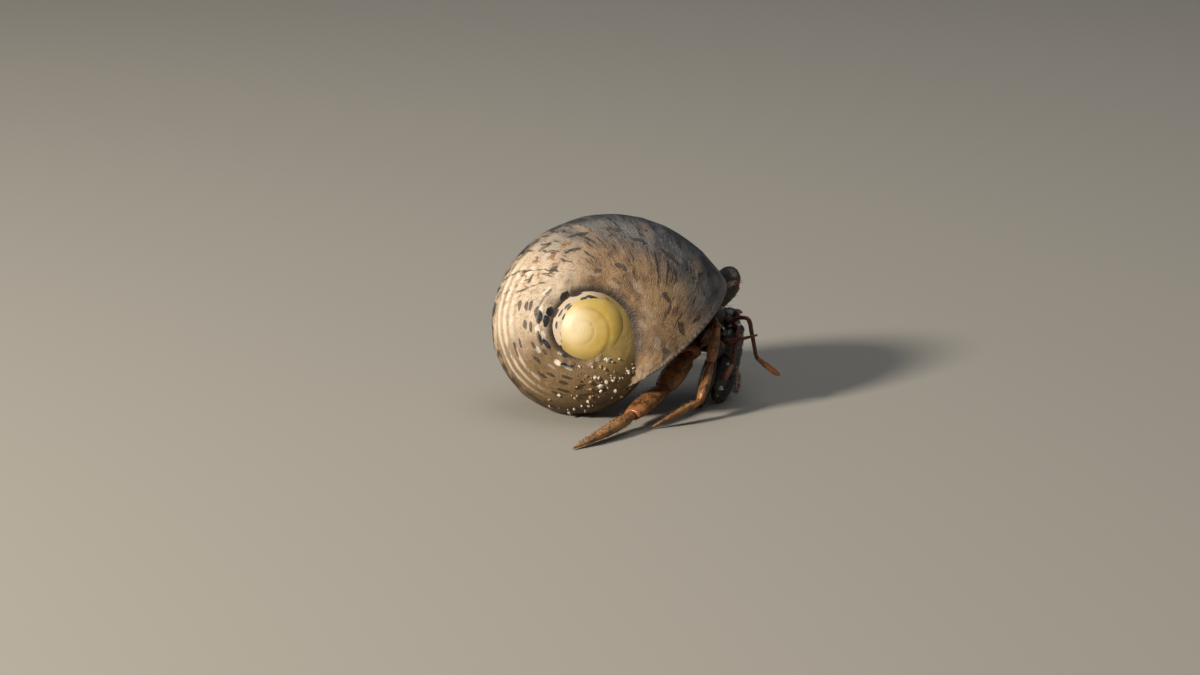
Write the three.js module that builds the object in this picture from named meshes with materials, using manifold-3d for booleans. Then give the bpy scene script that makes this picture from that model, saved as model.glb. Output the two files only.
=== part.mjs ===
// A land hermit crab walking in a borrowed sea snail's shell, at life size.
//
// Units are millimetres. +Z is up and z = 0 is the floor that the shell and the feet rest on.
// The crab heads along +X and a little towards -Y. The shell's apex faces -Y, so the crab's
// right side is the -Y side. Each plate of the body is one closed solid in a mesh of its own,
// and neighbours keep a gap of JOINT_GAP.

import * as THREE from "three";
import { mergeVertices } from "three/addons/utils/BufferGeometryUtils.js";
import Module from "manifold-3d";

const wasm = await Module();
wasm.setup();

const at = (x, y, z) => new THREE.Vector3(x, y, z);
const RAD = Math.PI / 180;

// ---------------------------------------------------------------- driving dimensions

// The middle of the model's own box, in the frame in which the body is posed.
const CENTRE = at(3.38, 2.53, 0);

const JOINT_GAP = 0.3;
const THINNEST = 0.25; // half size of the thinnest tips

// The shell is one tube that grows by `growth` with each turn round its axis. Sizes of the tube
// are shares of `reach`, the distance from the axis to the outermost point of the lip.
const SHELL = {
  reach: 17.4,
  growth: 2.4,
  tubeOut: 0.52, // tube centre, away from the axis
  tubeDown: 0.62, // tube centre, down the axis from the apex
  tubeWide: 0.48, // half size across the axis
  tubeDeep: 0.46, // half size along the axis
  tubeRise: 0.17, // how far the inner side climbs towards the apex, over the turn before it
  riseFrom: -92, // degrees back from the lip at which that climb begins,
  riseFull: -28, // and at which it is full
  lipTurn: 17.4, // degrees round the axis at which the lip is outermost
  wall: 1.2,
  sides: 22, // facets round the tube
  apex: at(-2.98, -5.48, 11.23),
  axisRise: 20.9, // degrees that the axis points above the floor
  axisTurn: 7.7, // degrees that it turns from -Y towards -X
};

// Where the tube's stretches end, in degrees back from the outermost point of the lip: the mouth,
// the end of the stretch that the mouth's plane cuts, the first and last of the older turns, and
// the two ends of the hollow. They lie whole steps apart.
const SPIRAL = { step: 12, mouthEnd: -78, cutEnd: 90, spireStart: 246, spireHalf: 426, spireEnd: 606 };
const HOLLOW = { mouth: -96, end: 234, steps: 22, sides: 18 };
const SEAM = 0.02; // how much thinner each later stretch is, so that no two walls coincide

// The rounded inner end of the hollow and of the belly: [degrees past the end, share of the size].
const ROUND_END = [[6, 0.85], [10, 0.5]];

// The worn tip of the spire is a low dome over the oldest turns.
const SPIRE_DOME = { radius: 4.8, height: 3.0, middle: at(0.5, -0.4, -3.05), sides: 20, bands: 10 };

// The mouth of the shell lies in one plane: its normal's droop below the floor's plane, its turn
// from +X towards +Y, and its distance from the posing frame's zero point.
const MOUTH = { droop: 53.7, turn: 12.2, offset: -2.83 };

// Shield: the hard back of the head and thorax, from its rear end inside the shell to its front.
const SHIELD = { rear: at(8.5, 8.0, 10.7), front: at(13.9, 4.9, 9.4), wide: 2.7, deep: 1.9 };

// The soft belly follows the shell's tube, from just inside the mouth to `end` degrees back.
const BELLY = { start: 14, end: 222, steps: 14, sides: 12, out: 0.6, down: 0.72, girth: 0.165 };

// Joints of each walking leg, from the body to the tip on the floor, with the half sizes of the
// merus across the leg and in the plane in which the leg bends.
const WALKING_LEGS = {
  leg1_right: {
    joints: [at(11.2, 2.3, 7.3), at(12.84, -0.3, 10.1), at(12.1, -1.7, 6.1), at(10.75, -5, 2.4), at(5.1, -8.2, 0.25)],
    wide: 0.62,
    deep: 0.9,
  },
  leg2_right: {
    joints: [at(9.6, 3.6, 7.0), at(9.5, 0.5, 6.4), at(6.5, -1.9, 3.1), at(2.76, -8.2, 1.7), at(-4.0, -16.0, 0.25)],
    wide: 0.9,
    deep: 1.45,
  },
  leg1_left: {
    joints: [at(12.7, 8.6, 7.4), at(14.2, 11.2, 8.3), at(15.0, 11.3, 5.4), at(15.3, 9.2, 2.5), at(15.6, 5.9, 0.25)],
    wide: 0.62,
    deep: 0.9,
  },
  leg2_left: {
    joints: [at(11.3, 9.3, 8.3), at(15.5, 12.0, 12.0), at(14.2, 15.0, 12.6), at(9.8, 18.6, 5.2), at(6.0, 21.0, 0.25)],
    wide: 0.95,
    deep: 1.25,
  },
};

const DACTYL_BOW = -0.35; // how far the middle of the last segment sags

// Sizes of the segments as shares of the merus, across the leg and in its plane.
const LEG_SHARES = { merus: [1, 1], carpus: [0.95, 1.08], propodus: [0.9, 0.95], dactyl: [0.72, 0.62] };

// Claws: the left is the large one. Joints run from the body over the elbow and wrist to the
// tips of the fingers; `height` and `thick` are the palm's half sizes.
const CLAWS = {
  claw_left: {
    joints: [at(12.6, 7.1, 7.6), at(13.8, 7.8, 9.7), at(15.3, 6.9, 8.5), at(12.9, 1.5, 0.2)],
    across: at(0.35, 0.8, -0.5),
    height: 2.5,
    thick: 1.45,
    arm: 1.15,
  },
  claw_right: {
    joints: [at(12.9, 2.9, 6.8), at(13.5, 1.4, 7.3), at(12.4, 1.2, 6.1), at(10.9, -0.7, 0.25)],
    across: at(0.1, 0.9, -0.35),
    height: 1.35,
    thick: 0.9,
    arm: 0.62,
  },
};

// Eyes on their stalks, each from its socket at the front of the shield.
const EYES = {
  eye_right: { socket: at(12.75, 3.75, 9.8), eye: at(13.69, 2.5, 8.72) },
  eye_left: { socket: at(14.2, 5.25, 9.75), eye: at(15.82, 4.8, 8.45) },
};
const EYE = { half: 0.48, length: 0.62, stalk: 0.36 };

// Feelers: the stations of each with its radius. Antennules are elbowed, with a thicker last piece.
const FEELERS = {
  antennule_right: [
    [at(14.6, 3.9, 9.5), 0.3],
    [at(15.6, 3.2, 10.25), 0.28],
    [at(16.5, 2.6, 10.35), 0.27],
    [at(16.85, 2.4, 9.9), 0.27],
    [at(17.6, 1.5, 6.1), 0.26],
    [at(17.85, 1.35, 5.7), 0.28],
    [at(18.9, 1.1, 4.9), 0.38],
    [at(19.9, 0.9, 4.15), 0.34],
    [at(20.4, 0.8, 3.85), 0.25],
  ],
  antennule_left: [
    [at(15.1, 4.2, 9.3), 0.3],
    [at(15.5, 3.0, 8.9), 0.28],
    [at(15.4, 2.4, 8.4), 0.27],
    [at(14.8, 0.9, 5.2), 0.26],
    [at(14.5, 0.4, 4.8), 0.3],
    [at(14.0, -0.5, 4.1), 0.34],
    [at(13.8, -0.9, 3.8), 0.25],
  ],
  antenna_right: [
    [at(13.6, 2.6, 7.6), 0.4],
    [at(14.6, 2.0, 7.7), 0.34],
    [at(16.0, 1.4, 8.2), 0.27],
    [at(17.7, 1.0, 8.75), 0.25],
  ],
  antenna_left: [
    [at(15.35, 5.7, 10.1), 0.3],
    [at(15.55, 6.6, 10.1), 0.3],
    [at(15.9, 7.8, 9.75), 0.27],
    [at(16.2, 9.0, 9.3), 0.25],
  ],
};

// Third maxillipeds: a pair of short limbs that cover the mouth.
const MAXILLIPED_GIRTH = 0.42;
const MAXILLIPEDS = {
  maxilliped_right: { start: at(12.3, 3.9, 7.0), end: at(12.2, 3.3, 5.0) },
  maxilliped_left: { start: at(12.8, 5.0, 6.9), end: at(12.5, 4.4, 5.0) },
};

// Two pairs of small hind legs that hold the crab in its shell.
const HIND_LEGS = {
  leg3_right: { joints: [at(8.7, 4.2, 9.6), at(7.0, 2.0, 10.0), at(6.2, 1.4, 8.4)], girth: 0.6 },
  leg3_left: { joints: [at(9.0, 9.9, 9.4), at(7.9, 10.6, 8.2), at(7.0, 10.2, 7.3)], girth: 0.5 },
  leg4_right: { joints: [at(7.2, 4.9, 8.3), at(6.0, 3.2, 7.9), at(5.2, 2.9, 6.8)], girth: 0.42 },
  leg4_left: { joints: [at(6.7, 8.8, 8.6), at(5.7, 9.0, 7.4), at(5.2, 8.6, 6.5)], girth: 0.4 },
};

// Colour, roughness and metalness of each kind of surface.
const PAINT = {
  shell: [0xb9a083, 0.6, 0],
  shield: [0x3a241c, 0.45, 0],
  belly: [0xb98a6c, 0.55, 0],
  claw: [0x2b1a15, 0.5, 0],
  leg: [0x6d4428, 0.5, 0],
  dactyl: [0x8a4a22, 0.5, 0],
  stalk: [0x3b231d, 0.5, 0],
  eye: [0x090607, 0.12, 0],
  feeler: [0x7c3a22, 0.5, 0],
};

// ---------------------------------------------------------------- solids and lofts

// A closed mesh as a solid that can be joined and cut.
function solidOf(geometry) {
  const bare = geometry.index ? geometry.toNonIndexed() : geometry.clone();
  bare.deleteAttribute("normal");
  bare.deleteAttribute("uv");
  const merged = mergeVertices(bare, 1e-4);
  const triVerts = new Uint32Array(merged.index.array);
  const vertProperties = merged.attributes.position.array;
  return new wasm.Manifold(new wasm.Mesh({ numProp: 3, vertProperties, triVerts }));
}

// The reverse: a solid as a geometry for a mesh.
function geometryOf(solid) {
  const { vertProperties, triVerts } = solid.getMesh();
  const geometry = new THREE.BufferGeometry();
  geometry.setAttribute("position", new THREE.BufferAttribute(new Float32Array(vertProperties), 3));
  geometry.setIndex(new THREE.BufferAttribute(new Uint32Array(triVerts), 1));
  geometry.computeVertexNormals();
  return geometry;
}

// A closed body through rings of points, with a fan over each end. The points of a ring run
// counter-clockwise as seen from the next ring.
function loft(rings) {
  const sides = rings[0].length;
  const points = rings.flat();
  const middle = (ring) => ring.reduce((sum, p) => sum.add(p), at(0, 0, 0)).divideScalar(sides);
  const first = points.push(middle(rings[0])) - 1;
  const last = points.push(middle(rings[rings.length - 1])) - 1;
  const faces = [];
  for (let j = 0; j < sides; j += 1) {
    const k = (j + 1) % sides;
    const top = (rings.length - 1) * sides;
    faces.push(first, k, j, last, top + j, top + k);
    for (let i = 0; i + 1 < rings.length; i += 1) {
      const [low, high] = [i * sides, (i + 1) * sides];
      faces.push(low + j, low + k, high + k, low + j, high + k, high + j);
    }
  }
  const geometry = new THREE.BufferGeometry().setFromPoints(points);
  geometry.setIndex(faces);
  return geometry;
}

// A body along stations of { at, wide, deep }. Each section is an ellipse square to the path:
// `deep` lies towards `up` and `wide` across it. `grow` swells the body on every side.
function bodyAlong(stations, up, sides, grow = 0) {
  const spots = stations.map((s) => s.at.clone());
  const count = spots.length;
  const heading = (i) => spots[Math.min(i + 1, count - 1)].clone().sub(spots[Math.max(i - 1, 0)]).normalize();
  const rings = stations.map(({ wide, deep }, i) => {
    const along = heading(i);
    const height = up.clone().addScaledVector(along, -up.dot(along)).normalize();
    const side = height.clone().cross(along);
    const slip = i === 0 ? -grow : i === count - 1 ? grow : 0;
    return Array.from({ length: sides }, (_, j) => {
      const turn = (2 * Math.PI * (j + 0.5)) / sides;
      return spots[i]
        .clone()
        .addScaledVector(along, slip)
        .addScaledVector(side, (wide + grow) * Math.cos(turn))
        .addScaledVector(height, (deep + grow) * Math.sin(turn));
    });
  });
  return solidOf(loft(rings));
}

// Stations of one straight or bowed segment. A profile lists [place along it, share of the size].
function segmentStations({ start, end, wide, deep, up, profile, bow = 0 }) {
  return profile.map(([t, share]) => ({
    at: start.clone().lerp(end, t).addScaledVector(up, bow * Math.sin(Math.PI * t)),
    wide: Math.max(wide * share, THINNEST),
    deep: Math.max(deep * share, THINNEST),
  }));
}

const PROFILE = {
  merus: [[0, 0.55], [0.1, 0.85], [0.4, 1], [0.8, 1], [0.94, 0.85], [1, 0.5]],
  carpus: [[0, 0.5], [0.12, 0.85], [0.55, 1.08], [0.9, 0.95], [1, 0.55]],
  propodus: [[0, 0.55], [0.1, 0.92], [0.45, 1.05], [0.88, 0.85], [1, 0.5]],
  dactyl: [[0, 0.6], [0.08, 0.95], [0.35, 1], [0.7, 0.72], [0.93, 0.4], [1, 0.2]],
  shield: [[0, 0.35], [0.08, 0.66], [0.28, 0.94], [0.55, 1], [0.8, 0.86], [0.94, 0.6], [1, 0.36]],
  ball: [[0, 0.42], [0.14, 0.78], [0.4, 1], [0.7, 0.94], [0.9, 0.62], [1, 0.3]],
};

// ---------------------------------------------------------------- shell

// The shell's own frame has the apex at zero and the coiling axis as +Z.
function shellPlace() {
  const flat = Math.cos(SHELL.axisRise * RAD);
  const turn = SHELL.axisTurn * RAD;
  const axis = at(-Math.sin(turn) * flat, -Math.cos(turn) * flat, Math.sin(SHELL.axisRise * RAD));
  const across = at(1, 0, 0).addScaledVector(axis, -axis.x).normalize();
  const third = axis.clone().cross(across);
  return new THREE.Matrix4().makeBasis(across, third, axis).setPosition(SHELL.apex);
}

// A stretch of the spiral tube, `back` degrees back from the lip. `inset` thins it evenly, and
// out, down, wide and deep say where the section sits and how large it is.
function spiralTube({ from, to, steps, sides, inset = 0, out, down, wide, deep, rise = 0, endShares = [] }) {
  const ring = (back, thinning) => {
    const size = SHELL.reach * SHELL.growth ** (-back / 360);
    const turn = (SHELL.lipTurn + back) * RAD;
    const outward = at(Math.cos(turn), Math.sin(turn), 0);
    const share = THREE.MathUtils.smoothstep(back, SHELL.riseFrom, SHELL.riseFull);
    const climb = (around) => (size * rise * share * (1 - Math.sin(around))) / 2;
    return Array.from({ length: sides }, (_, j) => {
      const around = (2 * Math.PI * j) / sides;
      return outward
        .clone()
        .multiplyScalar(size * out + (size * wide - inset) * thinning * Math.sin(around))
        .add(at(0, 0, climb(around) - size * down + (size * deep - inset) * thinning * Math.cos(around)));
    });
  };
  const rings = Array.from({ length: steps + 1 }, (_, i) => ring(from + ((to - from) * i) / steps, 1));
  endShares.forEach(([degrees, share]) => rings.push(ring(to + degrees, share)));
  return loft(rings);
}

const TUBE = {
  out: SHELL.tubeOut,
  down: SHELL.tubeDown,
  wide: SHELL.tubeWide,
  deep: SHELL.tubeDeep,
  rise: SHELL.tubeRise,
};

// A large block whose one face is the plane through `point`, on the side that `normal` points to.
function blockBeyond(normal, point) {
  const size = 80;
  const block = new THREE.BoxGeometry(size, size, size);
  const turned = new THREE.Quaternion().setFromUnitVectors(at(0, 0, 1), normal);
  const middle = point.clone().addScaledVector(normal, size / 2);
  return block.applyMatrix4(new THREE.Matrix4().compose(middle, turned, at(1, 1, 1)));
}

const mouthNormal = at(
  Math.cos(MOUTH.droop * RAD) * Math.cos(MOUTH.turn * RAD),
  Math.cos(MOUTH.droop * RAD) * Math.sin(MOUTH.turn * RAD),
  -Math.sin(MOUTH.droop * RAD),
);
const beyondMouth = (grow) => blockBeyond(mouthNormal, mouthNormal.clone().multiplyScalar(MOUTH.offset + grow));
const belowFloor = () => blockBeyond(at(0, 0, -1), at(0, 0, 0));

// Body whorl and older turns as one solid, hollowed from the mouth back for most of a turn. The
// older turns stay whole inside it, as the inner wall of the hollow. `grow` swells its walls.
function shellSolid(grow = 0) {
  const toOwnFrame = shellPlace().invert();
  const cut = (geometry) => solidOf(geometry.applyMatrix4(toOwnFrame));
  // Each later stretch starts one step inside the one before and is a hair thinner.
  const stretch = (from, to, order) => {
    const start = order ? from - SPIRAL.step : from;
    const steps = (to - start) / SPIRAL.step;
    const inset = SEAM * order - grow;
    return solidOf(spiralTube({ ...TUBE, from: start, to, steps, sides: SHELL.sides, inset }));
  };
  const lip = stretch(SPIRAL.mouthEnd, SPIRAL.cutEnd, 0).subtract(cut(beyondMouth(grow)));
  const bodyWhorl = lip.add(stretch(SPIRAL.cutEnd, SPIRAL.spireStart, 1));
  const { radius, height, middle, sides: domeSides, bands } = SPIRE_DOME;
  const dome = new THREE.SphereGeometry(radius, domeSides, bands)
    .rotateX(Math.PI / 2)
    .scale(1, 1, height / radius)
    .translate(middle.x, middle.y, middle.z);
  const spire = stretch(SPIRAL.spireStart, SPIRAL.spireHalf, 2)
    .add(stretch(SPIRAL.spireHalf, SPIRAL.spireEnd, 3))
    .add(solidOf(dome));
  const { mouth, end, steps, sides } = HOLLOW;
  const inset = SHELL.wall + grow;
  const bore = { ...TUBE, from: mouth, to: end, steps, sides, inset, endShares: ROUND_END };
  const hollow = solidOf(spiralTube(bore));
  return bodyWhorl.add(spire).subtract(hollow.subtract(spire)).subtract(cut(belowFloor()));
}

// ---------------------------------------------------------------- body

const shellClearance = solidOf(geometryOf(shellSolid(JOINT_GAP)).applyMatrix4(shellPlace()));
const pieces = [];

// Keeps a piece's solid with a version of it that is larger by the joint gap, which cuts back
// the pieces that come after it. Every piece is cut back from the shell in the same way.
function place(name, paint, build) {
  let solid = build(0).subtract(shellClearance);
  for (const other of pieces) solid = solid.subtract(other.grown);
  pieces.push({ name, paint, solid: solid.subtract(solidOf(belowFloor())), grown: build(JOINT_GAP) });
}

// The direction square to a segment that lies in the plane with the given normal.
const inPlane = (start, end, normal) => normal.clone().cross(end.clone().sub(start).normalize()).normalize();

// One segment from joint to joint, kept short of both by half the gap.
function segment(name, paint, kind, start, end, normal, size, options = {}) {
  const along = end.clone().sub(start).normalize();
  const up = inPlane(start, end, normal);
  const from = start.clone().addScaledVector(along, JOINT_GAP / 2);
  const to = options.reachesTip ? end : end.clone().addScaledVector(along, -JOINT_GAP / 2);
  const { sides = 8, bow = 0 } = options;
  const [wide, deep] = size;
  const stations = segmentStations({ start: from, end: to, wide, deep, up, profile: PROFILE[kind], bow });
  place(name, paint, (grow) => bodyAlong(stations, up, sides, grow));
}

function walkingLeg(name, { joints, wide, deep }) {
  const [base, knee, , , tip] = joints;
  const normal = knee.clone().sub(base).cross(tip.clone().sub(knee)).normalize();
  Object.entries(LEG_SHARES).forEach(([kind, [wideShare, deepShare]], i) => {
    const isTip = kind === "dactyl";
    segment(`${name}_${kind}`, isTip ? "dactyl" : "leg", kind, joints[i], joints[i + 1], normal,
      [wide * wideShare, deep * deepShare], { reachesTip: isTip, bow: isTip ? DACTYL_BOW : 0 });
  });
}

// Palm with its fixed finger, and the movable finger beside it. The palm is highest near its
// middle; `across` is the direction of its height, with the movable finger on the far side.
function claw(name, { joints, across, height, thick, arm }) {
  const [base, elbow, wrist, tip] = joints;
  const normal = across.clone().cross(tip.clone().sub(wrist)).normalize();
  segment(`${name}_merus`, "claw", "merus", base, elbow, normal, [arm, arm]);
  segment(`${name}_carpus`, "claw", "carpus", elbow, wrist, normal, [arm * 1.05, arm * 1.15]);
  const along = tip.clone().sub(wrist).normalize();
  const up = across.clone().addScaledVector(along, -across.dot(along)).normalize();
  const from = wrist.clone().addScaledVector(along, JOINT_GAP / 2);
  const station = (t, lift, high, flat) => ({
    at: from.clone().lerp(tip, t).addScaledVector(up, lift * height),
    wide: Math.max(flat * thick, THINNEST),
    deep: Math.max(high * height, THINNEST),
  });
  const finger = [
    station(0.5, 0.44, 0.34, 0.66), station(0.57, 0.54, 0.5, 0.82), station(0.74, 0.5, 0.44, 0.72),
    station(0.89, 0.34, 0.28, 0.5), station(1, 0.1, 0.08, 0.18),
  ];
  const palm = [
    station(0, 0, 0.32, 0.5), station(0.07, 0, 0.6, 0.78), station(0.22, 0.02, 0.9, 0.96),
    station(0.44, 0, 1, 1.04), station(0.54, -0.12, 0.88, 0.98), station(0.62, -0.42, 0.54, 0.86),
    station(0.78, -0.4, 0.44, 0.7), station(0.91, -0.3, 0.28, 0.48), station(1, -0.22, 0.1, 0.2),
  ];
  place(`${name}_finger`, "dactyl", (grow) => bodyAlong(finger, up, 8, grow));
  place(`${name}_palm`, "claw", (grow) => bodyAlong(palm, up, 10, grow));
}

// Shield, then all that is set against it.
const shieldUp = at(0.2, 0, 1);
place("shield", "shield", (grow) =>
  bodyAlong(
    segmentStations({ start: SHIELD.rear, end: SHIELD.front, wide: SHIELD.wide, deep: SHIELD.deep, up: shieldUp,
      profile: PROFILE.shield }),
    shieldUp, 14, grow));

Object.entries(EYES).forEach(([name, { socket, eye }]) => {
  const up = at(0, 0, 1);
  const along = eye.clone().sub(socket).normalize();
  const tip = eye.clone().addScaledVector(along, EYE.length);
  const back = eye.clone().addScaledVector(along, -EYE.length);
  place(name, "eye", (grow) =>
    bodyAlong(
      segmentStations({ start: back, end: tip, wide: EYE.half, deep: EYE.half, up, profile: PROFILE.ball }),
      up, 10, grow));
  const stalkEnd = back.clone().addScaledVector(along, -JOINT_GAP);
  place(name.replace("eye", "eyestalk"), "stalk", (grow) =>
    bodyAlong(
      segmentStations({ start: socket, end: stalkEnd, wide: EYE.stalk, deep: EYE.stalk, up, profile: PROFILE.merus }),
      up, 8, grow));
});

Object.entries(MAXILLIPEDS).forEach(([name, { start, end }]) => {
  const up = at(1, 0, 0);
  place(name, "claw", (grow) =>
    bodyAlong(
      segmentStations({ start, end, wide: MAXILLIPED_GIRTH, deep: MAXILLIPED_GIRTH, up, profile: PROFILE.merus }),
      up, 8, grow));
});

Object.entries(CLAWS).forEach(([name, build]) => claw(name, build));

Object.entries(WALKING_LEGS).forEach(([name, build]) => walkingLeg(name, build));

Object.entries(FEELERS).forEach(([name, stations]) => {
  const up = at(0, 1, 0.3);
  place(name, "feeler", (grow) =>
    bodyAlong(stations.map(([spot, radius]) => ({ at: spot, wide: radius, deep: radius })), up, 6, grow));
});

Object.entries(HIND_LEGS).forEach(([name, { joints: [base, elbow, tip], girth }]) => {
  const up = at(0, 0, 1);
  const part = (spot, share) => ({ at: spot, wide: girth * share, deep: girth * share });
  const middle = (a, b) => a.clone().lerp(b, 0.5);
  place(name, "leg", (grow) =>
    bodyAlong([part(base, 0.7), part(middle(base, elbow), 1), part(elbow, 0.9), part(middle(elbow, tip), 0.9),
      part(tip, 0.6)], up, 6, grow));
});

// The belly is a spiral tube of its own inside the shell's hollow.
place("belly", "belly", (grow) => {
  const { start, end, steps, sides, out, down, girth } = BELLY;
  const section = { sides, inset: -grow, out, down, wide: girth, deep: girth };
  const tube = spiralTube({ from: start, to: end, steps, ...section, endShares: ROUND_END });
  return solidOf(tube.applyMatrix4(shellPlace()));
});

// ---------------------------------------------------------------- scene graph

function mesh(name, geometry, paint) {
  const [color, roughness, metalness] = PAINT[paint];
  const made = new THREE.Mesh(geometry, new THREE.MeshStandardMaterial({ color, roughness, metalness }));
  made.name = name;
  return made;
}

const shell = mesh("shell", geometryOf(shellSolid()), "shell");
shell.applyMatrix4(shellPlace());

const crab = new THREE.Group();
pieces.forEach(({ name, solid, paint }) => crab.add(mesh(name, geometryOf(solid), paint)));

const posed = new THREE.Group();
posed.add(shell, crab);
posed.position.copy(CENTRE).negate();

const hermitCrab = new THREE.Group();
hermitCrab.name = "hermit_crab";
hermitCrab.add(posed);

export default hermitCrab;
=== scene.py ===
# %% [markdown]
# # A land hermit crab in a sea snail's worn shell
# A hermit crab is two things at once: a soft, curled animal with hard plates in front, and the
# borrowed shell that it carries. This lesson dresses the plain solids of both. The shell is one
# tube that grows as it turns, so it is swept by one small step that is repeated. The plates of
# the crab are short swept bodies, each with its own bumps, and the bristles come last.

# %% Load the frame
import math
import random

import bmesh
import bpy
from mathutils import Matrix, Vector, noise


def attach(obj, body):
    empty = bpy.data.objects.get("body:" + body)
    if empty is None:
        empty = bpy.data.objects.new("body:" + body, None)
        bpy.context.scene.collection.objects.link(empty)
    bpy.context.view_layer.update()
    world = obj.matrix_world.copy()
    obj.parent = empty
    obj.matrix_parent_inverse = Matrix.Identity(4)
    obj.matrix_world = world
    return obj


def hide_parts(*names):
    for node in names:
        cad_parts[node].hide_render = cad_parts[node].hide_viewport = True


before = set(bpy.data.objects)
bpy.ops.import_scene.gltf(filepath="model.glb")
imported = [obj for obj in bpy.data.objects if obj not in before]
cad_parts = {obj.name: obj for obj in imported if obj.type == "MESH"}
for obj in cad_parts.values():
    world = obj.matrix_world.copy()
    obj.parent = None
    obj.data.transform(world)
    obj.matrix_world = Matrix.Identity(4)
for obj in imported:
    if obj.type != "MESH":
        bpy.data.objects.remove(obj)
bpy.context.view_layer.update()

# %% [markdown]
# ## Units and the pose
# A crab this small is easiest to describe in millimetres. Each mesh is shaped in millimetres, in
# the frame in which the solids were posed, and one matrix takes it to metres in the model's own
# frame when it is finished, so every object ends at the origin with its place in its mesh.

# %% Units and the finished piece
MM = 0.001
CENTRE = Vector((3.38, 2.53, 0.0))
TO_MODEL = Matrix.Scale(MM, 4) @ Matrix.Translation(-CENTRE)


def finish_piece(bm, name, materials, nodes=()):
    """Turns a shaped bmesh into a piece that rides on the body and stands for the named nodes."""
    bmesh.ops.transform(bm, matrix=TO_MODEL, verts=bm.verts)
    mesh = bpy.data.meshes.new(name)
    bm.to_mesh(mesh)
    bm.free()
    mesh.polygons.foreach_set("use_smooth", [True] * len(mesh.polygons))
    for material in materials:
        mesh.materials.append(material)
    piece = bpy.data.objects.new(name, mesh)
    bpy.context.scene.collection.objects.link(piece)
    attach(piece, "root")
    if nodes:
        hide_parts(*nodes)
    triangles = sum(len(polygon.vertices) - 2 for polygon in mesh.polygons)
    print(f"{name}: {triangles} triangles")


# %% [markdown]
# ## The camera
# The animal is seen from a little above the floor, square to the shell's apex, with a long lens
# from a third of a metre away. Small animals look small because of a long lens: a wide one would
# make the near side of the shell swell.

# %% Camera
CAMERA_TARGET = Vector((-0.952, 2.445, 8.025))
CAMERA_EYE = Vector((-0.952, -321.79, 100.998))

camera_data = bpy.data.cameras.new("camera")
camera_data.lens = 85.0
camera_data.sensor_width = 36.0
camera_data.clip_start = 0.01
camera = bpy.data.objects.new("camera", camera_data)
camera.location = TO_MODEL @ CAMERA_EYE
camera.rotation_euler = (CAMERA_TARGET - CAMERA_EYE).to_track_quat("-Z", "Y").to_euler()
bpy.context.scene.collection.objects.link(camera)
bpy.context.scene.camera = camera
print("camera at", [round(v, 4) for v in camera.location])

# %% [markdown]
# ## A short way to write materials
# Natural surfaces need many small nodes. A thin wrapper round a node tree keeps each material
# readable: a call adds one node and hands back its output, so a mask reads like a sum.


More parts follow.
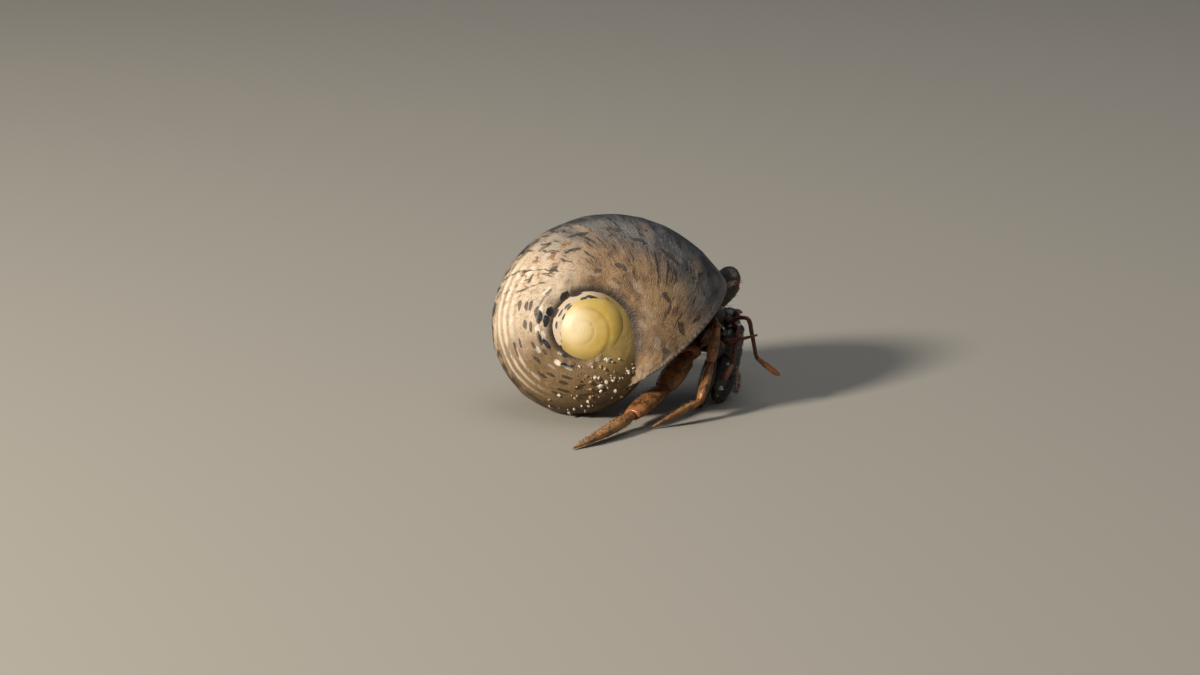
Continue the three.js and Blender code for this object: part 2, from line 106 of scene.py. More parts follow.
# %% Node graph helper
class Graph:
    """Adds nodes to a tree and returns the output that is used next."""

    def __init__(self, tree):
        self.tree = tree

    def add(self, kind, inputs=(), output=0, **settings):
        node = self.tree.nodes.new(kind)
        for key, value in settings.items():
            setattr(node, key, value)
        for key, value in dict(inputs).items():
            if isinstance(value, bpy.types.NodeSocket):
                self.tree.links.new(value, node.inputs[key])
            else:
                node.inputs[key].default_value = value
        return node.outputs[output]

    def math(self, operation, first, second=0.0):
        return self.add("ShaderNodeMath", {0: first, 1: second}, operation=operation)

    def attribute(self, name):
        return self.add("ShaderNodeAttribute", output="Fac", attribute_name=name)

    def smooth(self, value, low, high):
        """0 below `low`, 1 above `high`, with a soft step between them."""
        bounds = {"Value": value, "From Min": low, "From Max": high}
        return self.add("ShaderNodeMapRange", bounds, interpolation_type="SMOOTHSTEP")

    def product(self, *factors):
        result = factors[0]
        for factor in factors[1:]:
            result = self.math("MULTIPLY", result, factor)
        return result

    def window(self, value, rise, top, fall, end):
        """Rises from `rise` to `top` and falls again from `fall` to `end`."""
        return self.product(self.smooth(value, rise, top), self.opposite(self.smooth(value, fall, end)))

    def opposite(self, value):
        return self.math("SUBTRACT", 1.0, value)

    def mix(self, factor, first, second):
        """Mixes two colours. A Mix node's colour sockets are its inputs 6 and 7 and its output 2."""
        colours = [(*c, 1.0) if isinstance(c, tuple) else c for c in (first, second)]
        inputs = {0: factor, 6: colours[0], 7: colours[1]}
        return self.add("ShaderNodeMix", inputs, output=2, data_type="RGBA")

    def lay(self, base, colour, *masks):
        """Lays a colour over the base where all the masks are 1."""
        return self.mix(self.product(*masks), base, colour)

    def between(self, value, low, high):
        """Takes 0..1 to low..high."""
        return self.add("ShaderNodeMapRange", {"Value": value, "To Min": low, "To Max": high})

    def vector(self, x, y):
        return self.add("ShaderNodeCombineXYZ", {"X": x, "Y": y})

    def noise(self, vector, scale, detail=3.0, roughness=0.55):
        values = {"Vector": vector, "Scale": scale, "Detail": detail, "Roughness": roughness}
        return self.add("ShaderNodeTexNoise", values)

    def group(self, name, inputs):
        return self.add("ShaderNodeGroup", inputs, node_tree=bpy.data.node_groups[name])

    def mottle(self, vector, scale, low, high):
        return self.group("mottle", {"Vector": vector, "Scale": scale, "Low": low, "High": high})

    def spots(self, vector, size, share):
        return self.group("spots", {"Vector": vector, "Size": size, "Share": share})

    def grain(self, vector, scale, pits):
        return self.group("grain", {"Vector": vector, "Scale": scale, "Pits": pits})

    def millimetres(self):
        """Object coordinates in millimetres."""
        place = self.add("ShaderNodeTexCoord", output="Object")
        return self.add("ShaderNodeVectorMath", {0: place, "Scale": 1 / MM}, operation="SCALE")

    def height(self, value):
        """How far above the floor, in millimetres."""
        return self.add("ShaderNodeSeparateXYZ", {"Vector": value}, output="Z")

    def bump(self, height, distance, strength):
        values = {"Height": height, "Distance": distance * MM, "Strength": strength}
        return self.add("ShaderNodeBump", values)

    def finish(self, shader, colour, height, distance, strength):
        """Feeds a colour, and a bump `distance` millimetres high, to the shader."""
        self.tree.links.new(colour, shader["Base Color"])
        self.tree.links.new(self.bump(height, distance, strength), shader["Normal"])


def new_group(name, inputs, outputs):
    """A shader node group with named sockets, its graph, and its input and output nodes."""
    tree = bpy.data.node_groups.new(name, "ShaderNodeTree")
    for socket, (kind, value) in inputs.items():
        made = tree.interface.new_socket(name=socket, in_out="INPUT", socket_type=kind)
        if value is not None:
            made.default_value = value
    for socket, kind in outputs.items():
        tree.interface.new_socket(name=socket, in_out="OUTPUT", socket_type=kind)
    return Graph(tree), tree.nodes.new("NodeGroupInput").outputs, tree.nodes.new("NodeGroupOutput").inputs


def new_material(name, roughness=0.5, **fixed):
    """A material with its Principled shader, whose fixed sockets are set directly."""
    material = bpy.data.materials.new(name)
    material.use_nodes = True
    shader = material.node_tree.nodes["Principled BSDF"]
    shader.inputs["Roughness"].default_value = roughness
    for key, value in fixed.items():
        shader.inputs[key.replace("_", " ")].default_value = value
    return material, Graph(material.node_tree), shader.inputs


# %% [markdown]
# ## Effects that many surfaces share
# Mottle is a soft-edged patchiness: it turns noise into a mask with a chosen threshold. Grain is
# the fine unevenness of lime and cuticle. Each is one node group that every material places with
# its own values, so a change to the grain changes it everywhere. Spots are ragged dots scattered
# over a plane, of which a chosen share is kept.

# %% Shared node groups
FLOAT, VECTOR = "NodeSocketFloat", "NodeSocketVector"

graph, given, result = new_group(
    "mottle",
    {"Vector": (VECTOR, None), "Scale": (FLOAT, 1.0), "Low": (FLOAT, 0.45), "High": (FLOAT, 0.6)},
    {"Mask": FLOAT},
)
patches = graph.noise(given["Vector"], given["Scale"], detail=4.0, roughness=0.6)
mask = graph.smooth(patches, given["Low"], given["High"])
graph.tree.links.new(mask, result["Mask"])

graph, given, result = new_group(
    "grain",
    {"Vector": (VECTOR, None), "Scale": (FLOAT, 3.0), "Pits": (FLOAT, 0.4)},
    {"Height": FLOAT},
)
fine = graph.noise(given["Vector"], given["Scale"], detail=5.0, roughness=0.62)
cells = {"Vector": given["Vector"], "Scale": given["Scale"]}
pits = graph.smooth(graph.add("ShaderNodeTexVoronoi", cells, output="Distance"), 0.0, 0.35)
pits = graph.product(graph.math("SUBTRACT", pits, 1.0), given["Pits"])
graph.tree.links.new(graph.math("ADD", fine, pits), result["Height"])

graph, given, result = new_group(
    "spots",
    {"Vector": (VECTOR, None), "Size": (FLOAT, 0.3), "Share": (FLOAT, 0.5)},
    {"Mask": FLOAT},
)
cells = {"Vector": given["Vector"], "Scale": 1.0, "Randomness": 0.75}
distance = graph.add("ShaderNodeTexVoronoi", cells, output="Distance", voronoi_dimensions="2D")
tint = graph.add("ShaderNodeTexVoronoi", cells, output="Color", voronoi_dimensions="2D")
number = graph.add("ShaderNodeSeparateXYZ", {"Vector": tint}, output="X")
ragged = graph.math("ADD", distance, graph.product(graph.noise(given["Vector"], 3.0), 0.22))
outer, inner = (graph.math("ADD", given["Size"], edge) for edge in (0.15, 0.05))
kept = graph.math("LESS_THAN", number, given["Share"])
graph.tree.links.new(graph.product(graph.smooth(ragged, outer, inner), kept), result["Mask"])
print("node groups:", [g.name for g in bpy.data.node_groups])

# %% [markdown]
# ## The shell's colours
# The shell is painted along its own growth. `turn` says how many turns back from the lip a point
# lies, `around` its angle round the tube, and `growth` which growth line it is on. The paint goes on
# in coats, each laid over the last where all its masks are 1. The first coats are mottled brown,
# the cream of the old, sunlit part, and the olive brown of the shell's underside.

# %% Shell paint: ground coats
CREAM, TAN = (0.60, 0.47, 0.33), (0.26, 0.158, 0.076)
BROWN, OLIVE = (0.125, 0.070, 0.032), (0.17, 0.108, 0.042)

shell_material, g, shader = new_material("shell_outside", 0.5, Specular_IOR_Level=0.35)
turn, around, growth = g.attribute("turn"), g.attribute("around"), g.attribute("growth")
place = g.millimetres()
speckle = g.mottle(place, 2.6, 0.50, 0.66)
worn = g.mottle(place, 0.5, 0.30, 0.50)

base = g.mix(g.mottle(place, 0.42, 0.38, 0.62), BROWN, TAN)
old = g.window(turn, 0.16, 0.29, 0.40, 0.54)
base = g.lay(base, CREAM, old, g.math("ADD", g.product(worn, 0.45), 0.5))
base = g.lay(base, OLIVE, g.smooth(turn, 0.46, 0.60), 0.7)
base = g.lay(base, TAN, speckle, 0.45)
print("ground coats laid")

# %% [markdown]
# ## Cords
# Low cords run round the whorl like the grooves of a record. Their crests are rubbed whitish and
# carry a painted highlight, and tan dirt stays in the furrows, so the paint follows the same wave as
# the modelled relief does.

# %% Shell paint: cords
CORD_STEP, FIRST_CORD = 11.0, -6.0
PALE = (0.78, 0.70, 0.58)

blotch = g.vector(g.product(growth, 22.0), g.product(around, 0.035))
phase = g.math("DIVIDE", g.math("SUBTRACT", around, FIRST_CORD), CORD_STEP)
wave = g.math("COSINE", g.product(phase, math.tau))
banded = g.window(around, 14.0, 26.0, 52.0, 64.0)
corded = g.window(turn, 0.24, 0.34, 0.52, 0.64)
broken = g.mottle(blotch, 1.0, 0.42, 0.54)
# Pale on the cord crests: rubbed whitish, and partly a painted highlight.
base = g.lay(base, PALE, g.smooth(wave, -0.5, 1.0), corded, banded, broken, 0.50)
base = g.lay(base, TAN, g.smooth(g.product(wave, -1.0), 0.2, 0.95), corded, banded, 0.35)
print("cords every", CORD_STEP, "degrees")

# %% [markdown]
# ## Slate, rust and streaks
# The last half turn was never under sand for long. Its shoulder is slate grey with rusty patches,
# dark streaks and fine golden threads run along the growth lines, and dark dashes edge the whorl.

# %% Shell paint: the younger half turn
SLATE, ASH = (0.050, 0.056, 0.066), (0.135, 0.135, 0.130)
RUST, GOLD = (0.22, 0.085, 0.028), (0.34, 0.23, 0.12)
DARK, PAINTED_SHADE = (0.020, 0.013, 0.010), (0.030, 0.032, 0.038)

flow = g.vector(g.product(growth, 60.0), g.product(around, 0.035))
slate_area = g.product(g.window(turn, -0.16, 0.02, 0.20, 0.33), g.smooth(around, 6.0, 44.0))
slate_tone = g.mix(g.mottle(flow, 1.0, 0.4, 0.6), SLATE, ASH)
base = g.lay(base, slate_tone, slate_area, g.mottle(blotch, 0.9, 0.26, 0.48), 0.92)

rust_area = g.product(g.window(turn, 0.12, 0.22, 0.34, 0.42), g.window(around, 4.0, 14.0, 30.0, 42.0))
base = g.lay(base, RUST, rust_area, g.mottle(place, 0.75, 0.52, 0.62), 0.85)

young = g.product(g.window(turn, -0.3, -0.05, 0.34, 0.44), g.smooth(around, -14.0, 8.0))
thread = g.vector(g.product(growth, 150.0), g.product(around, 0.07))
base = g.lay(base, GOLD, young, g.mottle(thread, 1.0, 0.54, 0.68), 0.42)
base = g.lay(base, DARK, young, g.mottle(flow, 1.6, 0.53, 0.63), 0.85)

rim = g.window(around, 50.0, 66.0, 150.0, 190.0)
base = g.lay(base, DARK, rim, g.mottle(blotch, 1.7, 0.46, 0.56), 0.92)
# Painted shade: a cool dark coat over this side of the younger whorl, 44 to 78 degrees round and beyond.
base = g.lay(base, PAINTED_SHADE, g.smooth(around, 44.0, 78.0), g.window(turn, -0.2, 0.0, 0.34, 0.44), 0.55)
print("slate, rust and streaks laid")

# %% [markdown]
# ## Spots
# A row of inky dots between whitish knobs follows the seam, and looser dots lie further out. The
# cells of the spots are counted in knobs along the turn, so dots and knobs keep step with each
# other. A slow noise shifts them, because a snail is not a machine. The turn before last is yellow
# where it comes out from under the seam, then pale and dotted.

# %% Shell paint: spots and the older turn
KNOBS = 15
SPOT_ROW = 11.0
INK, YELLOW = (0.008, 0.009, 0.014), (0.33, 0.23, 0.07)

drift = g.product(g.math("SUBTRACT", g.noise(place, 0.55), 0.5), 0.9)
column = g.math("ADD", g.product(turn, KNOBS), drift)
line = g.math("ADD", g.math("DIVIDE", around, SPOT_ROW), drift)
near_seam = g.math("ADD", g.product(g.window(turn, 0.20, 0.32, 0.60, 0.70), 0.8), 0.14)
knobs = g.spots(g.vector(g.math("ADD", column, 0.5), line), 0.27, 0.7)
base = g.lay(base, PALE, knobs, g.window(around, -24.0, -18.0, -4.0, 6.0), near_seam, 0.8)
dots = g.spots(g.vector(column, line), 0.37, 0.72)
dot_row = g.window(around, -28.0, -22.0, -9.0, -2.0)
base = g.lay(base, INK, dots, dot_row, g.smooth(near_seam, 0.2, 0.6))
loose = g.spots(g.vector(g.product(column, 1.25), g.product(line, 1.35)), 0.30, 0.40)
base = g.lay(base, DARK, loose, g.window(around, -14.0, -4.0, 34.0, 50.0), 0.8)

base = g.lay(base, YELLOW, g.window(turn, 0.76, 0.88, 1.10, 1.18), 0.75)
base = g.lay(base, CREAM, g.smooth(turn, 1.10, 1.18), 0.7)
ring_dots = g.spots(g.vector(column, line), 0.36, 0.6)
base = g.lay(base, INK, ring_dots, g.smooth(turn, 1.06, 1.14), 0.95)
print("spots:", KNOBS, "to a turn")

# %% [markdown]
# ## Last coats and the fine surface
# The seam beside the spire and the foot of the shell are darker with painted shade, and the lip is a
# plain tan.
# Ridges along the growth lines and a chalky grain are bump, rubbed away on the oldest turn.

# %% Shell paint: last coats and bump
FLOOR_SHADE, LIP_TAN = (0.070, 0.038, 0.016), (0.24, 0.20, 0.16)

# Painted shade in the seam beside the spire.
base = g.lay(base, DARK, g.opposite(g.smooth(around, -24.0, -15.0)), 0.9)
# Painted shade on the shell's foot: darker towards the floor.
base = g.lay(base, FLOOR_SHADE, g.opposite(g.smooth(g.height(place), 0.5, 5.0)), 0.7)
base = g.lay(base, LIP_TAN, g.opposite(g.smooth(growth, 0.0, 0.022)), 0.6)
g.tree.links.new(base, shader["Base Color"])

ridges = g.noise(g.vector(g.product(growth, 240.0), g.product(around, 0.03)), 1.0)
relief = g.math("ADD", g.product(ridges, 0.8), g.grain(place, 5.0, 0.5))
rubbed = g.opposite(g.product(g.smooth(turn, 0.70, 0.85), 0.7))
g.tree.links.new(g.bump(g.product(relief, rubbed), 0.12, 0.8), shader["Normal"])
g.tree.links.new(g.between(speckle, 0.42, 0.66), shader["Roughness"])
print("shell paint:", len(g.tree.nodes), "nodes")

# %% [markdown]
# ## Spire and inner wall
# The worn spire has lost its outer layer and shows the smooth yellow one below, with a painted
# highlight on its left and brown in the furrow of its seam. The inner wall is dull pearl, painted dark
# brown as painted shade inside the mouth.

# %% Spire and inner wall materials
apex_material, g, shader = new_material("spire", 0.42, Specular_IOR_Level=0.4)
place = g.millimetres()
# Cream where the painted highlight lies on the dome's left, yellow elsewhere.
base = g.mix(g.smooth(g.attribute("growth"), 0.0, 1.0), (0.46, 0.31, 0.055), (0.64, 0.51, 0.30))
base = g.lay(base, (0.60, 0.45, 0.20), g.mottle(place, 0.9, 0.42, 0.64), 0.3)
base = g.lay(base, (0.30, 0.18, 0.05), g.attribute("around"), 0.45)
base = g.lay(base, (0.26, 0.175, 0.06), g.smooth(g.attribute("turn"), 0.55, 1.02), 0.85)
ragged = g.math("ADD", g.attribute("ink"), g.product(g.noise(place, 2.4), 0.5))
base = g.lay(base, INK, g.smooth(ragged, 0.66, 0.86))
g.finish(shader, base, g.grain(place, 3.0, 0.15), 0.05, 0.5)

inside_material, g, shader = new_material("shell_inside", 0.32)
place = g.millimetres()
# Painted shade: the inner wall's pearl is painted dark brown.
shaded_pearl = g.mix(g.mottle(place, 0.35, 0.4, 0.7), (0.10, 0.080, 0.065), (0.17, 0.145, 0.12))
g.finish(shader, shaded_pearl, g.grain(place, 2.0, 0.2), 0.05, 0.5)
print("shell materials made")

# %% [markdown]
# ## Sweeping a ring
# Nearly every part of this animal is a bent, tapering tube. A sweep starts from one unit circle
# and extrudes its edges from section to section. Each section is a matrix, so moving, turning,
# stretching and shearing the ring is one transform, and the circle keeps the place that each of
# its points has round the tube.

# %% Sweep
SEAM_ANGLE = -90.0


def layer(bm, name):
    """A number that each vertex carries into the mesh as an attribute."""
    layers = bm.verts.layers.float
    return layers.get(name) or layers.new(name)


def unique(items):
    """Each item once, in the order found, so that every run makes the same mesh."""
    return list(dict.fromkeys(items))


def extrude_ring(bm, edges):
    made = bmesh.ops.extrude_edge_only(bm, edges=edges)["geom"]
    verts = [item for item in made if isinstance(item, bmesh.types.BMVert)]
    fresh = set(verts)
    edges = [e for e in made if isinstance(e, bmesh.types.BMEdge) and fresh.issuperset(e.verts)]
    return verts, edges


def sweep(bm, sections, sides):
    """Extrudes a unit circle through sections of (matrix, place along). Returns all its verts."""
    along, around = layer(bm, "turn"), layer(bm, "around")
    matrix, place = sections[0]
    ring = bmesh.ops.create_circle(bm, segments=sides, radius=1.0)["verts"]
    for vert in ring:
        angle = math.degrees(math.atan2(vert.co.y, vert.co.x))
        vert[around] = angle if angle > SEAM_ANGLE - 0.01 else angle + 360.0
        vert[along] = place
    bmesh.ops.transform(bm, matrix=matrix, verts=ring)
    edges = unique(edge for vert in ring for edge in vert.link_edges)
    first, swept = edges, list(ring)
    for following, place in sections[1:]:
        ring, edges = extrude_ring(bm, edges)
        bmesh.ops.transform(bm, matrix=following @ matrix.inverted(), verts=ring)
        for vert in ring:
            vert[along] = place
        matrix = following
        swept += ring
    return swept, first, edges


def close_end(bm, edges, tip):
    """Draws an open ring together to one point."""
    verts, _ = extrude_ring(bm, edges)
    bmesh.ops.pointmerge(bm, verts=verts, merge_co=tip)


def set_on_floor(bm):
    """Lifts every point that is below the floor onto it, and says how many there were."""
    low = [vert for vert in bm.verts if vert.co.z < 0.0]
    for vert in low:
        vert.co.z = 0.0
    return len(low)


def soft_step(value, low, high):
    share = min(max((value - low) / (high - low), 0.0), 1.0)
    return share * share * (3.0 - 2.0 * share)


def plateau(value, rise, top, fall, end):
    """0, then 1 between `top` and `fall`, then 0 again, with soft steps between."""
    return soft_step(value, rise, top) * (1 - soft_step(value, fall, end))


def hump(value, middle, half):
    """1 at the middle, falling to 0 about `half` to each side."""
    return math.exp(-(((value - middle) / (0.6 * half)) ** 2))


# %% [markdown]
# ## The shell's form
# A snail adds to its shell only at the mouth, and each turn is the last one enlarged. So a ring
# that is turned a little and scaled a little, over and over, draws the whole shell. The oldest
# turns are worn to a low dome. The mouth is cut by one slanted plane, a thinner tube of the same
# form makes the inner wall, and the two are bridged along the lip.

# %% Shell numbers, in millimetres and turns
# The shell's size is REACH at the lip, and GROWTH times smaller one turn further back. In shares
# of that size the section lies OUT from the axis and DOWN along it, with half width WIDE and half
# depth DEEP. Its side towards the axis is higher by RISE, which fades out at the mouth.
REACH, GROWTH = 17.4, 2.4
OUT, DOWN, WIDE, DEEP, RISE = 0.52, 0.62, 0.48, 0.46, 0.17
LIP_TURN = math.radians(17.4)
APEX = Vector((-2.98, -5.48, 11.23))
AXIS_RISE, AXIS_TURN = math.radians(20.9), math.radians(7.7)
MOUTH_DROOP, MOUTH_TURN, MOUTH_OFFSET = math.radians(53.7), math.radians(12.2), -2.83

# Places along the growth are in turns back from the lip, and places round the tube in degrees.
RISE_FROM, RISE_FULL = -92.0 / 360, -28.0 / 360
MOUTH_START, CUT_END, SPIRE_END = -78.0 / 360, 90.0 / 360, 606.0 / 360
HOLLOW_START, HOLLOW_END = -96.0 / 360, 234.0 / 360
SHELL_STEP, SHELL_SIDES = 2.4 / 360, 200
WALL, LIP_WALL = 1.1, 0.35
SHELF_END, SHELF_FAR, SHELF_NEAR = -7.0 / 360, (190.0, 250.0), (-75.0, -50.0)
INNER_STEPS = 90


def shell_frame():
    """The shell's own frame: the apex at zero and the coiling axis along +Z."""
    flat = math.cos(AXIS_RISE)
    axis = Vector((-math.sin(AXIS_TURN) * flat, -math.cos(AXIS_TURN) * flat, math.sin(AXIS_RISE)))
    across = (Vector((1, 0, 0)) - axis * axis.x).normalized()
    turned = Matrix((across, axis.cross(across), axis)).transposed().to_4x4()
    return Matrix.Translation(APEX) @ turned


def whorl_section(turn, inset=0.0, out=OUT, down=DOWN, wide=WIDE, deep=DEEP, rise=RISE):
    """Takes the unit circle to the tube's section, `turn` turns back from the lip."""
    size = REACH * GROWTH**-turn
    rise = rise * soft_step(turn, RISE_FROM, RISE_FULL)
    local = Matrix(
        (
            (0.0, size * wide - inset, 0.0, size * out),
            (0.0, 0.0, size, 0.0),
            (size * deep - inset, -size * rise / 2, 0.0, size * (rise / 2 - down)),
            (0.0, 0.0, 0.0, 1.0),
        )
    )
    return Matrix.Rotation(LIP_TURN + math.tau * turn, 4, "Z") @ local


def whorl_sections(start, end, step, **shape):
    count = round((end - start) / step)
    turns = [start + (end - start) * i / count for i in range(count + 1)]
    return [(whorl_section(turn, **shape), turn) for turn in turns]


SHELL_FRAME = shell_frame()
print("apex at", APEX[:], "each turn", GROWTH, "times the one before")

# %% [markdown]
# ## The mouth
# The mouth's plane meets the tube at a different turn on each side of it. That turn is looked up
# once for every degree round the tube, because the growth lines are older copies of this same lip.

# %% Mouth and growth lines
mouth_normal = Vector(
    (
        math.cos(MOUTH_DROOP) * math.cos(MOUTH_TURN),
        math.cos(MOUTH_DROOP) * math.sin(MOUTH_TURN),
        -math.sin(MOUTH_DROOP),
    )
)
mouth_point = mouth_normal * MOUTH_OFFSET


def shell_point(turn, angle):
    """A point on the outside of the tube."""
    spot = Vector((math.cos(math.radians(angle)), math.sin(math.radians(angle)), 0.0))
    return SHELL_FRAME @ (whorl_section(turn) @ spot)


def lip_turn(angle):
    """The turn at which the tube's surface meets the mouth's plane, at one angle round it."""
    turn = CUT_END
    while turn > MOUTH_START:
        if (shell_point(turn, angle) - mouth_point).dot(mouth_normal) > 0:
            break
        turn -= SHELL_STEP / 2
    return turn


LIP_TABLE = [lip_turn(SEAM_ANGLE + degree) for degree in range(0, 361)]


def growth_at(turn, angle):
    """How many turns of growth lie between a point and the lip, along the growth lines."""
    return turn - LIP_TABLE[min(max(round(angle - SEAM_ANGLE), 0), 360)]


print("lip between turns", round(min(LIP_TABLE), 3), "and", round(max(LIP_TABLE), 3))

# %% [markdown]
# ## Relief of the shell
# Cords run round the shoulder, blunt knobs stand in a row below the seam, and fine ridges follow
# the growth lines. All of them grow with the shell. The oldest turn is worn, and at the very lip
# the shell is plain.

# %% Relief
CORD_HEIGHT, KNOB_HEIGHT, RIDGE_HEIGHT = 0.0055, 0.022, 0.0026
PLAIN_LIP = (0.004, 0.03)


def shell_relief(point, turn, angle, growth):
    """Cords, knobs, growth ridges and wear on the outside, in millimetres."""
    size = REACH * GROWTH**-turn
    cords = 0.5 + 0.5 * math.cos(math.tau * (angle - FIRST_CORD) / CORD_STEP)
    cords *= plateau(angle, 8, 26, 56, 90)
    cords *= soft_step(turn, 0.2, 0.38) * (1 - 0.7 * soft_step(turn, 0.56, 0.7))
    cords *= 0.35 + 0.65 * soft_step(noise.noise(Vector((growth * 14, angle * 0.04, 3.0))), -0.25, 0.2)
    drift = 0.6 * noise.noise(point / 2.0)
    knobs = hump(angle + 6 * drift, -10, 8) * (0.5 + 0.5 * math.cos(math.tau * (KNOBS * turn + drift)))
    knobs *= (0.3 + 0.7 * soft_step(turn, 0.16, 0.32)) * (1 - soft_step(turn, 0.82, 0.95))
    lines = noise.noise(Vector((growth * 95, angle * 0.02, 0.0)))
    lumps = noise.noise(point / 3.2) * 0.10 + noise.noise(point / 1.1) * 0.05
    worn = soft_step(turn, 0.85, 1.0)
    carved = size * (CORD_HEIGHT * cords + KNOB_HEIGHT * knobs + RIDGE_HEIGHT * lines)
    return (carved * (1 - 0.8 * worn) + lumps - 0.05 - 0.15 * worn) * soft_step(growth, *PLAIN_LIP)


print("knobs up to", round(REACH * KNOB_HEIGHT, 2), "mm high at the lip")

# %% [markdown]
# ## Cutting the mouth
# Where the tube leans on the turn before, its inner side is left out a little way inside the
# mouth, so the lip runs on over the older turn. What is left of both rims is bridged.

# %% Cutting the mouth


def is_shelf(vert, along, around):
    """Where the tube's inner side would run on past the turn that it leans on."""
    far = soft_step(vert[around], *SHELF_FAR)
    near = 1 - soft_step(vert[around], *SHELF_NEAR)
    limit = MOUTH_START + (SHELF_END - MOUTH_START) * max(far, near)
    return vert[along] < limit


def cut_mouth(bm, along, around):
    """Cuts the last stretch of the tubes with the mouth's plane and bridges the lip."""
    last = [face for face in bm.faces if all(vert[along] < CUT_END for vert in face.verts)]
    parts = last + unique(e for f in last for e in f.edges) + unique(v for f in last for v in f.verts)
    to_shell = SHELL_FRAME.inverted()
    normal = to_shell.to_3x3() @ mouth_normal
    bmesh.ops.bisect_plane(
        bm, geom=parts, plane_co=to_shell @ mouth_point, plane_no=normal, clear_outer=True
    )
    shelf = [face for face in bm.faces if all(is_shelf(vert, along, around) for vert in face.verts)]
    bmesh.ops.delete(bm, geom=shelf, context="FACES")
    rim = [edge for edge in bm.edges if edge.is_boundary]
    bridge = bmesh.ops.bridge_loops(bm, edges=rim)["faces"]
    longest = max(edge.calc_length() for face in bridge for edge in face.edges)
    print("shelf faces:", len(shelf), "rim edges:", len(rim), "longest bridge:", round(longest, 2))
    return bridge


def wall_at(turn):
    """How thick the wall is: thin at the lip and thicker further in."""
    return LIP_WALL + (WALL - LIP_WALL) * soft_step(turn, -0.2, 0.25)


bm = bmesh.new()
along, around = layer(bm, "turn"), layer(bm, "around")
growth_layer, inner, ink = layer(bm, "growth"), layer(bm, "inner"), layer(bm, "ink")
_, _, spire_edges = sweep(bm, whorl_sections(MOUTH_START, SPIRE_END, SHELL_STEP), SHELL_SIDES)
close_end(bm, spire_edges, whorl_section(SPIRE_END).translation)

inner_count = round((HOLLOW_END - HOLLOW_START) * INNER_STEPS) + 1
inner_turns = [HOLLOW_START + i / INNER_STEPS for i in range(inner_count)]
inner_sections = [(whorl_section(turn, inset=wall_at(turn)), turn) for turn in inner_turns]
inner_verts, _, hollow_edges = sweep(bm, inner_sections, SHELL_SIDES // 2)
for vert in inner_verts:
    vert[inner] = 1.0
close_end(bm, hollow_edges, whorl_section(HOLLOW_END + 0.02).translation)
lip_faces = cut_mouth(bm, along, around)
bmesh.ops.recalc_face_normals(bm, faces=bm.faces)
for face in bm.faces:
    face.material_index = 1 if all(vert[inner] > 0.5 for vert in face.verts) else 0

# %% [markdown]
# ## Carving the shell
# Every point of the outside moves along its normal by the relief at its place. Only then are the
# few points of the lip that the cut left off the mouth's plane drawn even.

# %% Carving the shell
LIP_SMOOTHING, ON_PLANE = 4, 0.02

bm.normal_update()
moves = []
for vert in bm.verts:
    vert[growth_layer] = growth_at(vert[along], vert[around])
    if vert[inner] < 0.5:
        move = shell_relief(vert.co, vert[along], vert[around], vert[growth_layer])
        moves.append((vert, vert.normal * move))
for vert, move in moves:
    vert.co += move
lip_verts = unique(vert for face in lip_faces for vert in face.verts)
stepped = [v for v in lip_verts if abs((SHELL_FRAME @ v.co - mouth_point).dot(mouth_normal)) > ON_PLANE]
axes = {"use_axis_x": True, "use_axis_y": True, "use_axis_z": True}
for _ in range(LIP_SMOOTHING):
    bmesh.ops.smooth_vert(bm, verts=stepped, factor=0.5, **axes)
print("shell:", len(bm.verts), "points, lip faces", len(lip_faces), "stepped", len(stepped))

# %% [markdown]
# ## The worn spire
# The first turns of an old shell are rubbed down to a smooth knob, where only a faint spiral line
# shows that there were whorls. A flattened sphere is the plainest start for it. The faint line is
# the seam of the same growing tube, found from the distance to the axis, and a few blunt knobs
# with dark pits between them are left along its lower edge.

# %% Spire
DOME_RADIUS, DOME_HEIGHT, DOME_SQUARE = 4.6, 3.05, 2.5
DOME_MIDDLE = Vector((0.75, 0.1, -3.0))
DOME_WEAR = Vector((0.65, 0.55, 0.0))
DOME_INK = [(-2.7, -3.0), (-0.9, -3.6), (2.0, -3.3), (3.3, -2.3)]
# The middle of the painted highlight on the dome's left.
HIGHLIGHT_SPOT = Vector((-1.1, 0.5, 0.0))


def spiral_furrow(point):
    """1 on the seam of the worn whorls and 0 away from it."""
    radius = max(math.hypot(point.x, point.y), 0.05)
    turns = -math.log(radius / REACH, GROWTH) - (math.atan2(point.y, point.x) - LIP_TURN) / math.tau
    away = abs(turns - round(turns))
    shown = 0.2 + 0.8 * soft_step(point.x, -0.8, 1.4)
    return shown * math.exp(-((away / 0.075) ** 2)) * soft_step(radius, 0.3, 1.4)


def dome_height(radius):
    """Height of the dome above its middle: flatter on top and steeper at its edge than a ball."""
    share = min(radius / DOME_RADIUS, 1.0) ** DOME_SQUARE
    return DOME_HEIGHT * (1.0 - share) ** (1.0 / DOME_SQUARE)


dome = bmesh.ops.create_uvsphere(bm, u_segments=128, v_segments=72, radius=DOME_RADIUS)["verts"]
for vert in dome:
    radius = vert.co.xy.length
    vert.co.z = math.copysign(dome_height(radius), vert.co.z)
    vert.co += DOME_MIDDLE
    outward = (vert.co - DOME_MIDDLE).normalized()
    furrow = spiral_furrow(vert.co)
    # On the dome, the growth attribute carries a painted highlight, strongest on the dome's left.
    vert[growth_layer] = hump((vert.co - HIGHLIGHT_SPOT).xy.length, 0.0, 4.2)
    vert[along] = (vert.co - DOME_WEAR).xy.length / DOME_RADIUS
    vert[around] = furrow
    vert[ink] = max(hump((vert.co.xy - Vector(spot)).length, 0.0, 0.55) for spot in DOME_INK)
    vert.co += outward * (0.05 * noise.noise(vert.co / 1.6) - 0.07 * furrow)
for face in unique(face for vert in dome for face in vert.link_faces):
    face.material_index = 2
bmesh.ops.transform(bm, matrix=SHELL_FRAME, verts=bm.verts)
